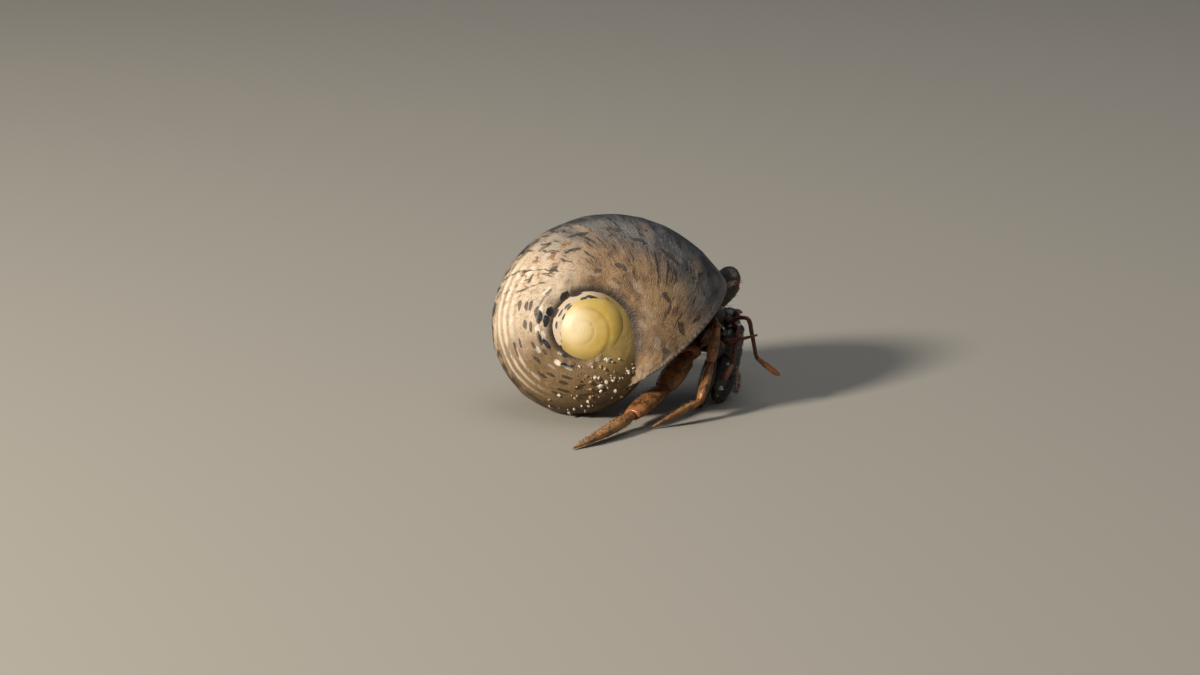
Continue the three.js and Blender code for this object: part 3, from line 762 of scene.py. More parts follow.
print("dome points", len(dome), "set on the floor", set_on_floor(bm))
shell_materials = [shell_material, inside_material, apex_material]
finish_piece(bm, "snail_shell", shell_materials, ["shell"])

# %% [markdown]
# ## The crab's surfaces
# The plates of a land crab are satin, thickly freckled and never one colour. Each plate carries
# how far along it a point lies, so the joints can be redder and the ends paler, and the rest is
# patchiness in millimetres. Small knobs in the bump stand between the modelled ones.

# %% Cuticle


def cuticle(name, deep, main, light, joint, roughness=0.42, knob_scale=2.6, low_light=0.0):
    """Freckled cuticle: patches of `deep` and `main`, `light` freckles, and `joint` at both ends."""
    material, g, shader = new_material(name, roughness, Specular_IOR_Level=0.45, Coat_Weight=0.05)
    place = g.millimetres()
    base = g.mix(g.mottle(place, 0.9, 0.38, 0.62), deep, main)
    freckle = g.mottle(place, 4.2, 0.56, 0.68)
    base = g.lay(base, light, freckle, 0.75)
    ends = g.opposite(g.window(g.attribute("turn"), 0.02, 0.16, 0.86, 0.99))
    base = g.lay(base, joint, ends, 0.6)
    if low_light:
        low = g.opposite(g.smooth(g.height(place), 1.0, 6.5))
        base = g.lay(base, light, low, g.mottle(place, 1.9, 0.48, 0.62), low_light)
    g.finish(shader, base, g.grain(place, knob_scale, -0.9), 0.10, 0.7)
    rough = g.between(freckle, roughness - 0.1, roughness + 0.12)
    g.tree.links.new(rough, shader["Roughness"])
    return material


claw_material = cuticle(
    "claw_cuticle",
    deep=(0.005, 0.003, 0.003), main=(0.016, 0.008, 0.006),
    light=(0.10, 0.075, 0.04), joint=(0.03, 0.012, 0.007), low_light=0.4,
)
shield_material = cuticle(
    "shield_cuticle",
    deep=(0.010, 0.006, 0.005), main=(0.035, 0.018, 0.011),
    light=(0.10, 0.06, 0.032), joint=(0.05, 0.02, 0.011),
)
leg_material = cuticle(
    "leg_cuticle",
    deep=(0.12, 0.046, 0.014), main=(0.30, 0.135, 0.042),
    light=(0.46, 0.26, 0.10), joint=(0.30, 0.085, 0.017),
)
shin_material = cuticle(
    "shin_cuticle",
    deep=(0.095, 0.036, 0.013), main=(0.27, 0.118, 0.036),
    light=(0.45, 0.24, 0.085), joint=(0.36, 0.10, 0.02),
)
# A shaded copy of the leg cuticle, for the far leg's upper plates: painted shade.
shaded_leg_material = cuticle(
    "shaded_leg_cuticle",
    deep=(0.012, 0.007, 0.005), main=(0.045, 0.026, 0.014),
    light=(0.16, 0.11, 0.05), joint=(0.16, 0.05, 0.014),
)
foot_material = cuticle(
    "foot_cuticle",
    deep=(0.15, 0.060, 0.018), main=(0.33, 0.155, 0.050),
    light=(0.48, 0.29, 0.12), joint=(0.36, 0.13, 0.028),
)
print("plates: claw, shield, leg, shin, far leg, foot")

# %% [markdown]
# ## Thin and soft parts
# Stalks, feelers and joint skin are the same cuticle, smoother and redder. The cornea is nearly
# black and wet, with a paler rim that is a painted highlight. A bristle is dark at its root and
# straw-coloured at its tip, and each grain of sand has its own tint, from cream over tan to nearly black.

# %% Thin and soft parts
stalk_material = cuticle(
    "stalk_cuticle",
    deep=(0.07, 0.032, 0.016), main=(0.17, 0.085, 0.040),
    light=(0.32, 0.20, 0.09), joint=(0.20, 0.10, 0.04),
)
feeler_material = cuticle(
    "feeler_cuticle",
    deep=(0.07, 0.016, 0.009), main=(0.13, 0.032, 0.014),
    light=(0.18, 0.055, 0.022), joint=(0.08, 0.02, 0.01), roughness=0.34, knob_scale=6.0,
)
feeler_tip_material = cuticle(
    "feeler_tip",
    deep=(0.20, 0.060, 0.017), main=(0.31, 0.11, 0.028),
    light=(0.42, 0.19, 0.055), joint=(0.16, 0.045, 0.015), roughness=0.34, knob_scale=6.0,
)
membrane_material = cuticle(
    "joint_membrane",
    deep=(0.10, 0.025, 0.012), main=(0.18, 0.050, 0.020),
    light=(0.24, 0.09, 0.035), joint=(0.15, 0.035, 0.015), roughness=0.3, knob_scale=5.0,
)

belly_material, g, shader = new_material("belly_skin", 0.38, Subsurface_Weight=0.15)
place = g.millimetres()
skin = g.mix(g.mottle(place, 0.7, 0.4, 0.64), (0.42, 0.20, 0.14), (0.60, 0.36, 0.26))
g.finish(shader, skin, g.grain(place, 1.8, 0.2), 0.08, 0.6)

eye_material, g, shader = new_material("eye_cornea", 0.10, Specular_IOR_Level=0.65, Coat_Weight=0.8)
place = g.millimetres()
base = g.mix(g.mottle(place, 2.5, 0.45, 0.7), (0.006, 0.005, 0.007), (0.020, 0.017, 0.016))
# The paler rim at the cornea's base is a painted highlight, a ring of glint.
base = g.lay(base, (0.28, 0.18, 0.09), g.opposite(g.smooth(g.attribute("turn"), 0.06, 0.30)))
facets = g.add("ShaderNodeTexVoronoi", {"Vector": place, "Scale": 16.0}, output="Distance")
g.finish(shader, base, facets, 0.01, 0.3)

bristle_material, g, shader = new_material("bristle", 0.42)
hair = g.mix(g.attribute("turn"), (0.045, 0.022, 0.012), (0.26, 0.15, 0.07))
g.tree.links.new(hair, shader["Base Color"])

sand_material, g, shader = new_material("sand_grain", 0.55)
tint = g.attribute("around")
base = g.mix(g.smooth(tint, 0.3, 0.6), (0.60, 0.54, 0.44), (0.36, 0.24, 0.12))
base = g.lay(base, (0.10, 0.07, 0.05), g.smooth(tint, 0.86, 0.9))
g.finish(shader, base, g.grain(g.millimetres(), 6.0, 0.3), 0.05, 0.6)
print("materials:", len(bpy.data.materials))

# %% [markdown]
# ## A plate from stations
# A plate runs from joint to joint. Its width and depth are given at a few stations and are read
# in between with a smooth curve, so a handful of numbers makes a waist, a swelling and a collar.
# Blunt knobs are pushed out of the swept surface where a cell pattern has its middles.

# %% Plates
LOOK_AHEAD = 0.01
THINNEST = 0.12


def smooth_value(values, place):
    """Reads a list of numbers or vectors at a place between its items, through every item."""
    last = len(values) - 1
    index = min(int(place), last - 1)
    share = place - index
    before = values[max(index - 1, 0)]
    start, end = values[index], values[index + 1]
    after = values[min(index + 2, last)]
    bend = (end - before) * 0.5
    lead = (after - start) * 0.5
    cubed, squared = share**3, share**2
    return (
        start * (2 * cubed - 3 * squared + 1)
        + bend * (cubed - 2 * squared + share)
        + end * (3 * squared - 2 * cubed)
        + lead * (cubed - squared)
    )


def body_sections(stations, up, step):
    """Sections along stations of (point, half width, half depth), about `step` apart."""
    points = [Vector(point) for point, _, _ in stations]
    widths = [wide for _, wide, _ in stations]
    depths = [deep for _, _, deep in stations]
    length = sum((b - a).length for a, b in zip(points, points[1:]))
    count = max(round(length / step), 6)
    last = len(points) - 1
    sections = []
    for i in range(count + 1):
        place = last * i / count
        spot = smooth_value(points, place)
        ahead = smooth_value(points, min(place + LOOK_AHEAD, last))
        heading = (ahead - smooth_value(points, max(place - LOOK_AHEAD, 0.0))).normalized()
        height = (up - heading * up.dot(heading)).normalized()
        side = height.cross(heading)
        wide = max(smooth_value(widths, place), 0.01)
        deep = max(smooth_value(depths, place), 0.01)
        turned = Matrix((side * wide, height * deep, heading)).transposed().to_4x4()
        sections.append((Matrix.Translation(spot) @ turned, i / count))
    return sections


def knobs_at(point, cell, height):
    """Blunt knobs in the middles of an uneven cell pattern."""
    distance = noise.voronoi(point / cell)[0][0]
    return height * (1.0 - soft_step(distance, 0.08, 0.5))


def add_body(bm, stations, up, sides=32, step=0.14, cell=0.5, knob=0.04, relief=None):
    """Sweeps a closed body through the stations and raises its knobs."""
    before = set(bm.verts)
    sections = body_sections(stations, up, step)
    verts, first, last = sweep(bm, sections, sides)
    close_end(bm, first, sections[0][0].translation)
    close_end(bm, last, sections[-1][0].translation)
    made = [vert for vert in bm.verts if vert not in before]
    bmesh.ops.recalc_face_normals(bm, faces=unique(face for vert in made for face in vert.link_faces))
    along, around = layer(bm, "turn"), layer(bm, "around")
    moves = []
    for vert in made:
        ends = plateau(vert[along], 0.0, 0.12, 0.88, 1.0)
        move = knobs_at(vert.co, cell, knob) * ends + 0.02 * noise.noise(vert.co / 0.7)
        if relief:
            move += relief(vert[along], vert[around])
        moves.append((vert, vert.normal * move))
    for vert, move in moves:
        vert.co += move


# %% [markdown]
# ## Profiles
# Each kind of plate has its own run of thicknesses from one joint to the next, as shares of the
# width and depth that a limb gives it.

# %% Profiles
PROFILES = {
    "merus": (0.62, 0.80, 0.89, 0.96, 1.01, 1.05, 1.06, 1.02, 0.84),
    "carpus": (0.58, 0.82, 0.95, 1.04, 1.10, 1.12, 1.08, 1.00, 0.82),
    "propodus": (0.62, 0.86, 0.96, 1.01, 1.02, 1.00, 0.96, 0.90, 0.76),
    "dactyl": (0.62, 0.86, 0.95, 0.93, 0.84, 0.70, 0.54, 0.36, 0.10),
    "shield": (0.30, 0.72, 0.92, 1.00, 1.00, 0.93, 0.80, 0.60, 0.25),
}


def plate_stations(kind, start, end, up, wide, deep, bow=0.0):
    """Stations of one straight or bowed plate between two joints."""
    shares = PROFILES[kind]
    count = len(shares) - 1
    stations = []
    for i, share in enumerate(shares):
        spot = start.lerp(end, i / count) + up * bow * math.sin(math.pi * i / count)
        stations.append((spot, max(wide * share, THINNEST), max(deep * share, THINNEST)))
    return stations


def two_plates(bm, joints, up, wide, deep, **body):
    """A thin limb of two plates in a row."""
    for kind, start, end in zip(("merus", "propodus"), joints, joints[1:]):
        add_body(bm, plate_stations(kind, start, end, up, wide, deep), up, sides=20, knob=0.02, **body)


print("kinds of plate:", *PROFILES)

# %% [markdown]
# ## Where bristles will stand
# The bristles are made last, so each plate only remembers the places, chosen by chance, where its
# tufts will stand. Each plate also has its own strip of one unwrap that all bristles share.

# %% Roots of the bristles
REGION_STEP = 1.0 / 32
region_count = 0
bristle_roots = []


def next_region():
    """The next strip of the shared unwrap, as its start and width."""
    global region_count
    region_count += 1
    return ((region_count - 1) * REGION_STEP, REGION_STEP * 0.9)


def remember_roots(bm, faces, count, region, length, heading, seed):
    """Picks faces where a tuft of bristles stands. `region` is the plate's strip of the unwrap."""
    along, around = layer(bm, "turn"), layer(bm, "around")

    def order(face):
        """The operators leave faces in any order, so they are sorted by their place on the plate."""
        middle = face.calc_center_median()
        turn = sum(sorted(vert[along] for vert in face.verts))
        angle = sum(sorted(vert[around] for vert in face.verts))
        return round(turn, 4), round(angle, 2), *(round(value, 3) for value in middle)

    faces = sorted(faces, key=order)
    chosen = random.Random(seed)
    for _ in range(count):
        face = chosen.choice(faces)
        vert = min(face.verts, key=lambda corner: (corner[along], corner[around]))
        unwrap = (region[0] + vert[along] * region[1], (vert[around] - SEAM_ANGLE) / 360.0)
        size = length * chosen.uniform(0.6, 1.25)
        bristle_roots.append((face.calc_center_median(), face.normal.copy(), heading, size, unwrap))


print("strips of the unwrap:", round(1 / REGION_STEP))

# %% [markdown]
# ## Walking legs
# Two pairs of walking legs carry the crab. Each has four plates that show: the merus, which hides
# under the shell's lip, the carpus or knee piece, the long propodus and the pointed dactyl that
# stands on the sand. The plates are deeper than wide, with a blunt keel above.

# %% Joints of the legs
LEGS = {
    "leg1_right": (
        (0.62, 0.9),
        [(11.2, 2.3, 7.3), (12.84, -0.3, 10.1), (12.1, -1.7, 6.1), (10.75, -5, 2.4), (5.1, -8.2, 0.25)],
    ),
    "leg2_right": (
        (0.95, 1.5),
        [(9.6, 3.6, 7.0), (9.5, 0.5, 6.4), (6.5, -1.9, 3.1), (2.76, -8.2, 1.7), (-4.0, -16.0, 0.25)],
    ),
    "leg1_left": (
        (0.62, 0.9),
        [(12.7, 8.6, 7.4), (14.2, 11.2, 8.3), (15.0, 11.3, 5.4), (15.3, 9.2, 2.5), (15.6, 5.9, 0.25)],
    ),
    "leg2_left": (
        (0.95, 1.25),
        [(11.3, 9.3, 8.3), (15.5, 12.0, 12.0), (14.2, 15.0, 12.6), (9.8, 18.6, 5.2), (6.0, 21.0, 0.25)],
    ),
}
# Each kind of plate: its share of the leg's width and depth, its material and its slot.
LEG_PLATES = {
    "merus": (1.0, 1.0, leg_material, "leg_cuticle"),
    "carpus": (0.95, 1.08, leg_material, "leg_cuticle"),
    "propodus": (0.9, 0.95, shin_material, "leg_cuticle"),
    "dactyl": (0.72, 0.62, foot_material, "claw_tip"),
}
print("legs:", *LEGS)

# %% [markdown]
# ## Shaping the legs
# A plate stops short of its joints, except the foot, which ends in its point. The feet are bowed
# like sabres and are the hairiest part of the leg.

# %% Walking legs
END_GAP = 0.05
DACTYL_BOW = -0.35
TUFTS_PER_MM, FOOT_TUFTS_PER_MM = 9, 22


def keel(along, around):
    """A blunt ridge along the top of a plate and a shallow furrow on each side of it."""
    middle = plateau(along, 0.05, 0.3, 0.75, 0.97)
    return middle * (0.07 * hump(around, 90, 26) - 0.035 * (hump(around, 48, 18) + hump(around, 132, 18)))


for name, ((wide, deep), joints) in LEGS.items():
    joints = [Vector(joint) for joint in joints]
    normal = (joints[1] - joints[0]).cross(joints[-1] - joints[1]).normalized()
    for i, (kind, (wide_share, deep_share, paint, slot)) in enumerate(LEG_PLATES.items()):
        start, end = joints[i], joints[i + 1]
        heading = (end - start).normalized()
        up = normal.cross(heading).normalized()
        is_tip = kind == "dactyl"
        start = start + heading * END_GAP
        end = end if is_tip else end - heading * END_GAP
        bow = DACTYL_BOW if is_tip else 0.0
        size = wide * wide_share
        stations = plate_stations(kind, start, end, up, size, deep * deep_share, bow)
        bm = bmesh.new()
        add_body(bm, stations, up, cell=0.55 * size + 0.15, knob=0.05 * size + 0.012, relief=keel)
        bm.normal_update()
        faces = [face for face in bm.faces if face.calc_center_median().z > 0.6]
        count = round((end - start).length * (FOOT_TUFTS_PER_MM if is_tip else TUFTS_PER_MM))
        remember_roots(bm, faces, count, next_region(), 0.3 * size + 0.18, heading, f"{name}_{kind}")
        set_on_floor(bm)
        # The far leg's upper plates take the shaded copy of the cuticle: painted shade.
        if name == "leg2_left" and not is_tip:
            paint = shaded_leg_material
        finish_piece(bm, f"{name}_{kind}_plate", [paint], [f"{name}_{kind}"])

# %% [markdown]
# ## Claws
# The left claw is the big one: it closes the shell's mouth like a door when the crab pulls back.
# The palm and its fixed finger are one plate, swept through a row of sections that swell and then
# slide to one side. The movable finger lies beside it, and both carry blunt teeth.

# %% Claw numbers
CLAWS = {
    "claw_left": {
        "joints": [(12.6, 7.1, 7.6), (13.8, 7.8, 9.7), (15.3, 6.9, 8.5), (12.9, 1.5, 0.2)],
        "across": Vector((0.35, 0.8, -0.5)),
        "height": 2.5, "thick": 1.45, "arm": 1.15, "cell": 0.62, "knob": 0.12,
        "tufts": {"merus": 40, "carpus": 40, "finger": 100, "palm": 300}, "bristle": 0.3,
    },
    "claw_right": {
        "joints": [(12.9, 2.9, 6.8), (13.5, 1.4, 7.3), (12.4, 1.2, 6.1), (10.9, -0.7, 0.25)],
        "across": Vector((0.1, 0.9, -0.35)),
        "height": 1.35, "thick": 0.9, "arm": 0.62, "cell": 0.42, "knob": 0.06,
        "tufts": {"merus": 16, "carpus": 16, "finger": 35, "palm": 80}, "bristle": 0.24,
    },
}
JOINT_GAP, ARM_BRISTLE, TEETH = 0.3, 0.45, 6
# Every so many of the big palm's tufts has a grain of sand beside it.
CLAW_GRAIN_STEP = 7
# Sections as (place along, slip to one side, half height, half thickness), in shares.
PALM = [
    (0.0, 0.0, 0.34, 0.5), (0.07, 0.0, 0.62, 0.78),
    (0.22, 0.02, 0.9, 0.96), (0.36, 0.01, 0.98, 1.02),
    (0.46, -0.02, 0.98, 1.02), (0.55, -0.16, 0.82, 0.96),
    (0.63, -0.42, 0.54, 0.86), (0.78, -0.40, 0.44, 0.70),
    (0.91, -0.30, 0.28, 0.46), (1.0, -0.22, 0.08, 0.14),
]
FINGER = [
    (0.47, 0.42, 0.20, 0.42), (0.52, 0.50, 0.42, 0.74),
    (0.60, 0.54, 0.50, 0.82), (0.74, 0.50, 0.44, 0.72),
    (0.89, 0.34, 0.28, 0.48), (1.0, 0.10, 0.07, 0.14),
]
print("sections: palm", len(PALM), "finger", len(FINGER))

# %% [markdown]
# ## Shaping the claws
# The two plates of the arm come first, then the finger and the palm with its fixed finger. The
# teeth stand along the edges that face each other.

# %% Claws


def claw_teeth(bm, start, end, count, size):
    """A row of blunt teeth along a cutting edge."""
    along = layer(bm, "turn")
    for i in range(count):
        share = (i + 0.5) / count
        spot = start.lerp(end, share)
        tooth = bmesh.ops.create_uvsphere(
            bm, u_segments=10, v_segments=8, radius=size * (1.0 - 0.5 * share),
            matrix=Matrix.Translation(spot),
        )["verts"]
        for vert in tooth:
            vert[along] = 0.5


for name, build in CLAWS.items():
    base, elbow, wrist, tip = (Vector(joint) for joint in build["joints"])
    across, height, thick, arm = build["across"], build["height"], build["thick"], build["arm"]
    cell, knob, tufts = build["cell"], build["knob"], build["tufts"]
    normal = across.cross(tip - wrist).normalized()
    for kind, start, end, wide, deep in (
        ("merus", base, elbow, arm, arm),
        ("carpus", elbow, wrist, arm * 1.05, arm * 1.15),
    ):
        heading = (end - start).normalized()
        up = normal.cross(heading).normalized()
        bm = bmesh.new()
        gap = heading * END_GAP
        stations = plate_stations(kind, start + gap, end - gap, up, wide, deep)
        add_body(bm, stations, up, cell=cell, knob=knob * 0.7)
        bm.normal_update()
        seed = f"{name}_{kind}"
        remember_roots(bm, bm.faces, tufts[kind], next_region(), ARM_BRISTLE, heading, seed)
        finish_piece(bm, f"{name}_{kind}_plate", [claw_material], [f"{name}_{kind}"])
    along_claw = (tip - wrist).normalized()
    up = (across - along_claw * across.dot(along_claw)).normalized()
    start = wrist + along_claw * JOINT_GAP / 2

    def claw_station(share, slip, high, flat):
        spot = start.lerp(tip, share) + up * slip * height
        return spot, max(flat * thick, THINNEST), max(high * height, THINNEST)

    for part, table, slot, inward in (
        ("finger", FINGER, "claw_tip", -1.0),
        ("palm", PALM, "dark_cuticle", 1.0),
    ):
        bm = bmesh.new()
        stations = [claw_station(*row) for row in table]
        add_body(bm, stations, up, sides=48, step=0.15, cell=cell, knob=knob)
        row = [claw_station(share, slip, 0, 0)[0] for share, slip, _, _ in (table[-4], table[-1])]
        edge = [row[0] + up * inward * 0.42 * height, row[1] + up * inward * 0.05 * height]
        claw_teeth(bm, edge[0], edge[1], TEETH, 0.11 * thick + 0.04)
        bm.normal_update()
        faces = [face for face in bm.faces if face.calc_center_median().z > 0.5]
        seed = f"{name}_{part}"
        remember_roots(bm, faces, tufts[part], next_region(), build["bristle"], along_claw, seed)
        if seed == "claw_left_palm":
            claw_spots = [root[0] for root in bristle_roots[-tufts[part] :: CLAW_GRAIN_STEP]]
        set_on_floor(bm)
        finish_piece(bm, f"{name}_{part}_plate", [claw_material], [f"{name}_{part}"])

# %% [markdown]
# ## The shield
# The shield is the hard back of the head and front body. A shallow groove crosses it behind the
# head.

# %% Shield
SHIELD_REAR, SHIELD_FRONT = Vector((8.5, 8.0, 10.7)), Vector((13.9, 4.9, 9.4))
SHIELD_UP = Vector((0.2, 0.0, 1.0))


def shield_groove(along, around):
    """The groove that crosses the back, curved forwards at the sides."""
    curve = 0.52 + 0.10 * abs(around - 90.0) / 90.0
    top = plateau(around, -20, 20, 160, 200)
    return -0.16 * hump(along, curve, 0.05) * top


bm = bmesh.new()
stations = plate_stations("shield", SHIELD_REAR, SHIELD_FRONT, SHIELD_UP.normalized(), 2.7, 1.9)
add_body(bm, stations, SHIELD_UP, sides=56, step=0.14, cell=0.6, knob=0.05, relief=shield_groove)
bm.normal_update()
ahead = (SHIELD_FRONT - SHIELD_REAR).normalized()
remember_roots(bm, bm.faces, 70, next_region(), 0.34, ahead, "shield")
finish_piece(bm, "shield_plate", [shield_material], ["shield"])

# %% [markdown]
# ## Mouth parts and hind legs
# Under the shield hang the third maxillipeds, which cover the mouth. Behind them two pairs of
# small legs hold on to the inside of the shell.

# %% Mouth parts and hind legs
MAXILLIPEDS = {
    "maxilliped_right": ((12.3, 3.9, 7.0), (12.2, 3.3, 5.0)),
    "maxilliped_left": ((12.8, 5.0, 6.9), (12.5, 4.4, 5.0)),
}
for name, (start, end) in MAXILLIPEDS.items():
    start, end = Vector(start), Vector(end)
    bm = bmesh.new()
    joints = [start, start.lerp(end, 0.5), end]
    two_plates(bm, joints, Vector((1.0, 0.0, 0.0)), 0.42, 0.42, cell=0.3, step=0.1)
    bm.normal_update()
    remember_roots(bm, bm.faces, 40, next_region(), 0.3, (end - start).normalized(), name)
    finish_piece(bm, f"{name}_plate", [stalk_material], [name])

HIND_LEGS = {
    "leg3_right": ([(8.7, 4.2, 9.6), (7.0, 2.0, 10.0), (6.2, 1.4, 8.4)], 0.6),
    "leg3_left": ([(9.0, 9.9, 9.4), (7.9, 10.6, 8.2), (7.0, 10.2, 7.3)], 0.5),
    "leg4_right": ([(7.2, 4.9, 8.3), (6.0, 3.2, 7.9), (5.2, 2.9, 6.8)], 0.42),
    "leg4_left": ([(6.7, 8.8, 8.6), (5.7, 9.0, 7.4), (5.2, 8.6, 6.5)], 0.4),
}
for name, (joints, girth) in HIND_LEGS.items():
    bm = bmesh.new()
    joints = [Vector(joint) for joint in joints]
    two_plates(bm, joints, Vector((0.0, 0.0, 1.0)), girth * 0.85, girth * 0.9, cell=0.3)
    finish_piece(bm, f"{name}_plate", [leg_material], [name])

# %% [markdown]
# ## Breastplate and leg bases
# The legs meet under the shield on a broad breastplate. Blunt cones stand for the base of each
# claw and leg, and no solid shows them one by one.

# %% Breastplate and leg bases
BREAST_REAR, BREAST_FRONT = Vector((8.9, 7.2, 7.6)), Vector((13.0, 5.0, 6.9))
BASE_ROWS = [
    ((10.6, 6.0, 8.4), (9.7, 3.9, 7.1), 1.25), ((11.6, 5.4, 8.2), (11.1, 2.8, 7.3), 1.05),
    ((12.4, 5.0, 8.0), (12.7, 3.3, 6.9), 0.85), ((11.4, 7.6, 8.6), (11.4, 9.1, 8.1), 1.15),
    ((12.3, 6.8, 8.3), (12.7, 8.2, 7.4), 0.95), ((12.4, 6.0, 8.2), (12.6, 6.9, 7.5), 1.15),
]
bm = bmesh.new()
stations = plate_stations("carpus", BREAST_REAR, BREAST_FRONT, SHIELD_UP, 2.0, 1.6)
add_body(bm, stations, SHIELD_UP, sides=40, cell=0.6, knob=0.04)
for start, end, girth in BASE_ROWS:
    stations = plate_stations("carpus", Vector(start), Vector(end), SHIELD_UP, girth, girth)
    add_body(bm, stations, SHIELD_UP, sides=24, cell=0.5, knob=0.03)
finish_piece(bm, "leg_bases", [shield_material])

# %% [markdown]
# ## Eyes
# The eyes sit at the ends of stalks and are taller than wide. A dark, wet cornea caps the stalk,
# which is narrowest in its middle and flares into a collar round the eye.

# %% Eyes
EYES = {
    "right": ((12.75, 3.75, 9.8), (13.69, 2.5, 8.72)),
    "left": ((14.2, 5.25, 9.75), (15.82, 4.8, 8.45)),
}
EYE_HALF, EYE_LENGTH, STALK_HALF = 0.48, 0.62, 0.36
EYE_SHARES = [
    (-1.0, 0.50), (-0.8, 0.80), (-0.4, 0.98), (0.0, 1.0),
    (0.4, 0.92), (0.75, 0.68), (0.93, 0.38), (1.0, 0.1),
]
STALK_SHARES = [(0.0, 1.15), (0.2, 0.98), (0.5, 0.80), (0.75, 0.92), (0.9, 1.18), (1.0, 1.10)]
for side, (socket, eye) in EYES.items():
    socket, eye = Vector(socket), Vector(eye)
    heading = (eye - socket).normalized()
    up = Vector((0.0, 0.0, 1.0))
    bm = bmesh.new()
    stations = []
    for t, share in EYE_SHARES:
        half = EYE_HALF * share
        stations.append((eye + heading * EYE_LENGTH * t, half, half * 1.04))
    add_body(bm, stations, up, sides=40, step=0.05, knob=0.0)
    finish_piece(bm, f"eye_{side}_cornea", [eye_material], [f"eye_{side}"])
    bm = bmesh.new()
    end = eye - heading * EYE_LENGTH * 0.86
    stations = []
    for t, share in STALK_SHARES:
        half = STALK_HALF * share
        stations.append((socket.lerp(end, t), half, half * 1.1))
    add_body(bm, stations, up, sides=32, step=0.06, cell=0.25, knob=0.012)
    finish_piece(bm, f"eyestalk_{side}_plate", [stalk_material], [f"eyestalk_{side}"])

# %% [markdown]
# ## Feelers
# Land hermit crabs smell with long, elbowed antennules that end in a thick brush, and touch with
# antennae made of many short rings. Both are swept along a few points with their thickness, and
# the rings are a small ripple along the sweep.

# %% Feelers
FEELERS = {
    "antennule_right": [
        (14.6, 3.9, 9.5, 0.30), (15.6, 3.2, 10.25, 0.26), (16.5, 2.6, 10.35, 0.25),
        (16.85, 2.4, 9.9, 0.27), (17.6, 1.5, 6.1, 0.23), (17.85, 1.35, 5.7, 0.28),
        (18.9, 1.1, 4.9, 0.37), (19.9, 0.9, 4.15, 0.34), (20.4, 0.8, 3.85, 0.16),
    ],
    "antennule_left": [
        (15.1, 4.2, 9.3, 0.3), (15.5, 3.0, 8.9, 0.26), (15.4, 2.4, 8.4, 0.27), (14.8, 0.9, 5.2, 0.23),
        (14.5, 0.4, 4.8, 0.3), (14.0, -0.5, 4.1, 0.33), (13.8, -0.9, 3.8, 0.16),
    ],
    "antenna_right": [
        (13.6, 2.6, 7.6, 0.4), (14.6, 2.0, 7.7, 0.32),
        (16.0, 1.4, 8.2, 0.22), (17.7, 1.0, 8.75, 0.12),
    ],
    "antenna_left": [
        (15.35, 5.7, 10.1, 0.3), (15.55, 6.6, 10.1, 0.28),
        (15.9, 7.8, 9.75, 0.22), (16.2, 9.0, 9.3, 0.12),
    ],
}
RING_LENGTH, RING_DEPTH = 0.22, 0.014
PIECE_LENGTH = 0.8


def closer_points(rows):
    """The rows with more of them between, so that the smooth curve keeps to the given line."""
    dense = []
    for a, b in zip(rows, rows[1:]):
        pieces = max(round((Vector(b[:3]) - Vector(a[:3])).length / PIECE_LENGTH), 1)
        for i in range(pieces):
            spot = Vector(a[:3]).lerp(Vector(b[:3]), i / pieces)
            dense.append((spot, a[3] + (b[3] - a[3]) * i / pieces))
    return dense + [(Vector(rows[-1][:3]), rows[-1][3])]


for name, rows in FEELERS.items():
    points = [Vector(row[:3]) for row in rows]
    length = sum((b - a).length for a, b in zip(points, points[1:]))
    is_antennule = name.startswith("antennule")
    tip_from = 0.66 if is_antennule else 2.0
    rings = length / RING_LENGTH

    def ripple(along, around):
        strength = soft_step(along, 0.62, 0.70) if is_antennule else 1.0
        return RING_DEPTH * strength * math.cos(math.tau * along * rings)

    stations = [(spot, radius, radius) for spot, radius in closer_points(rows)]
    bm = bmesh.new()
    add_body(bm, stations, Vector((0.0, 1.0, 0.3)), sides=18, step=0.05, knob=0.0, relief=ripple)
    along = layer(bm, "turn")
    for face in bm.faces:
        face.material_index = 1 if min(vert[along] for vert in face.verts) > tip_from else 0
    finish_piece(bm, f"{name}_feeler", [feeler_material, feeler_tip_material], [name])

# %% [markdown]
# ## Joint skin
# Between two plates a crab has soft skin. Small smooth balls in the gaps stand for it.

# %% Joint skin
SKIN_SHARE = 0.62

bm = bmesh.new()
along = layer(bm, "turn")
spots = []
for (wide, _), joints in LEGS.values():
    spots += [(Vector(joint), SKIN_SHARE * wide) for joint in joints[1:4]]
for build in CLAWS.values():
    spots += [(Vector(joint), SKIN_SHARE * build["arm"]) for joint in build["joints"][1:3]]
for spot, radius in spots:
    ball = bmesh.ops.create_uvsphere(
        bm, u_segments=24, v_segments=16, radius=radius, matrix=Matrix.Translation(spot)
    )["verts"]
    for vert in ball:
        vert[along] = 0.5
finish_piece(bm, "joint_skin", [membrane_material])

# %% [markdown]
# ## The belly
# The belly is soft all over and is one skin with no seams. It is swept along the inside of the
# shell with the same turning tube, and shallow folds cross it.

# %% Belly
BELLY_START, BELLY_END, BELLY_STEP = 14.0 / 360, 222.0 / 360, 1.6 / 360
BELLY = {"out": 0.6, "down": 0.72, "wide": 0.165, "deep": 0.165, "rise": 0.0}
FOLDS = 22


def rounded_end(turn, rows):
    """Sections that round an end off, from rows of (degrees past the turn, how much thinner)."""
    places = [(turn + degrees / 360, inset) for degrees, inset in rows]
    return [(whorl_section(place, inset=inset, **BELLY), place) for place, inset in places]


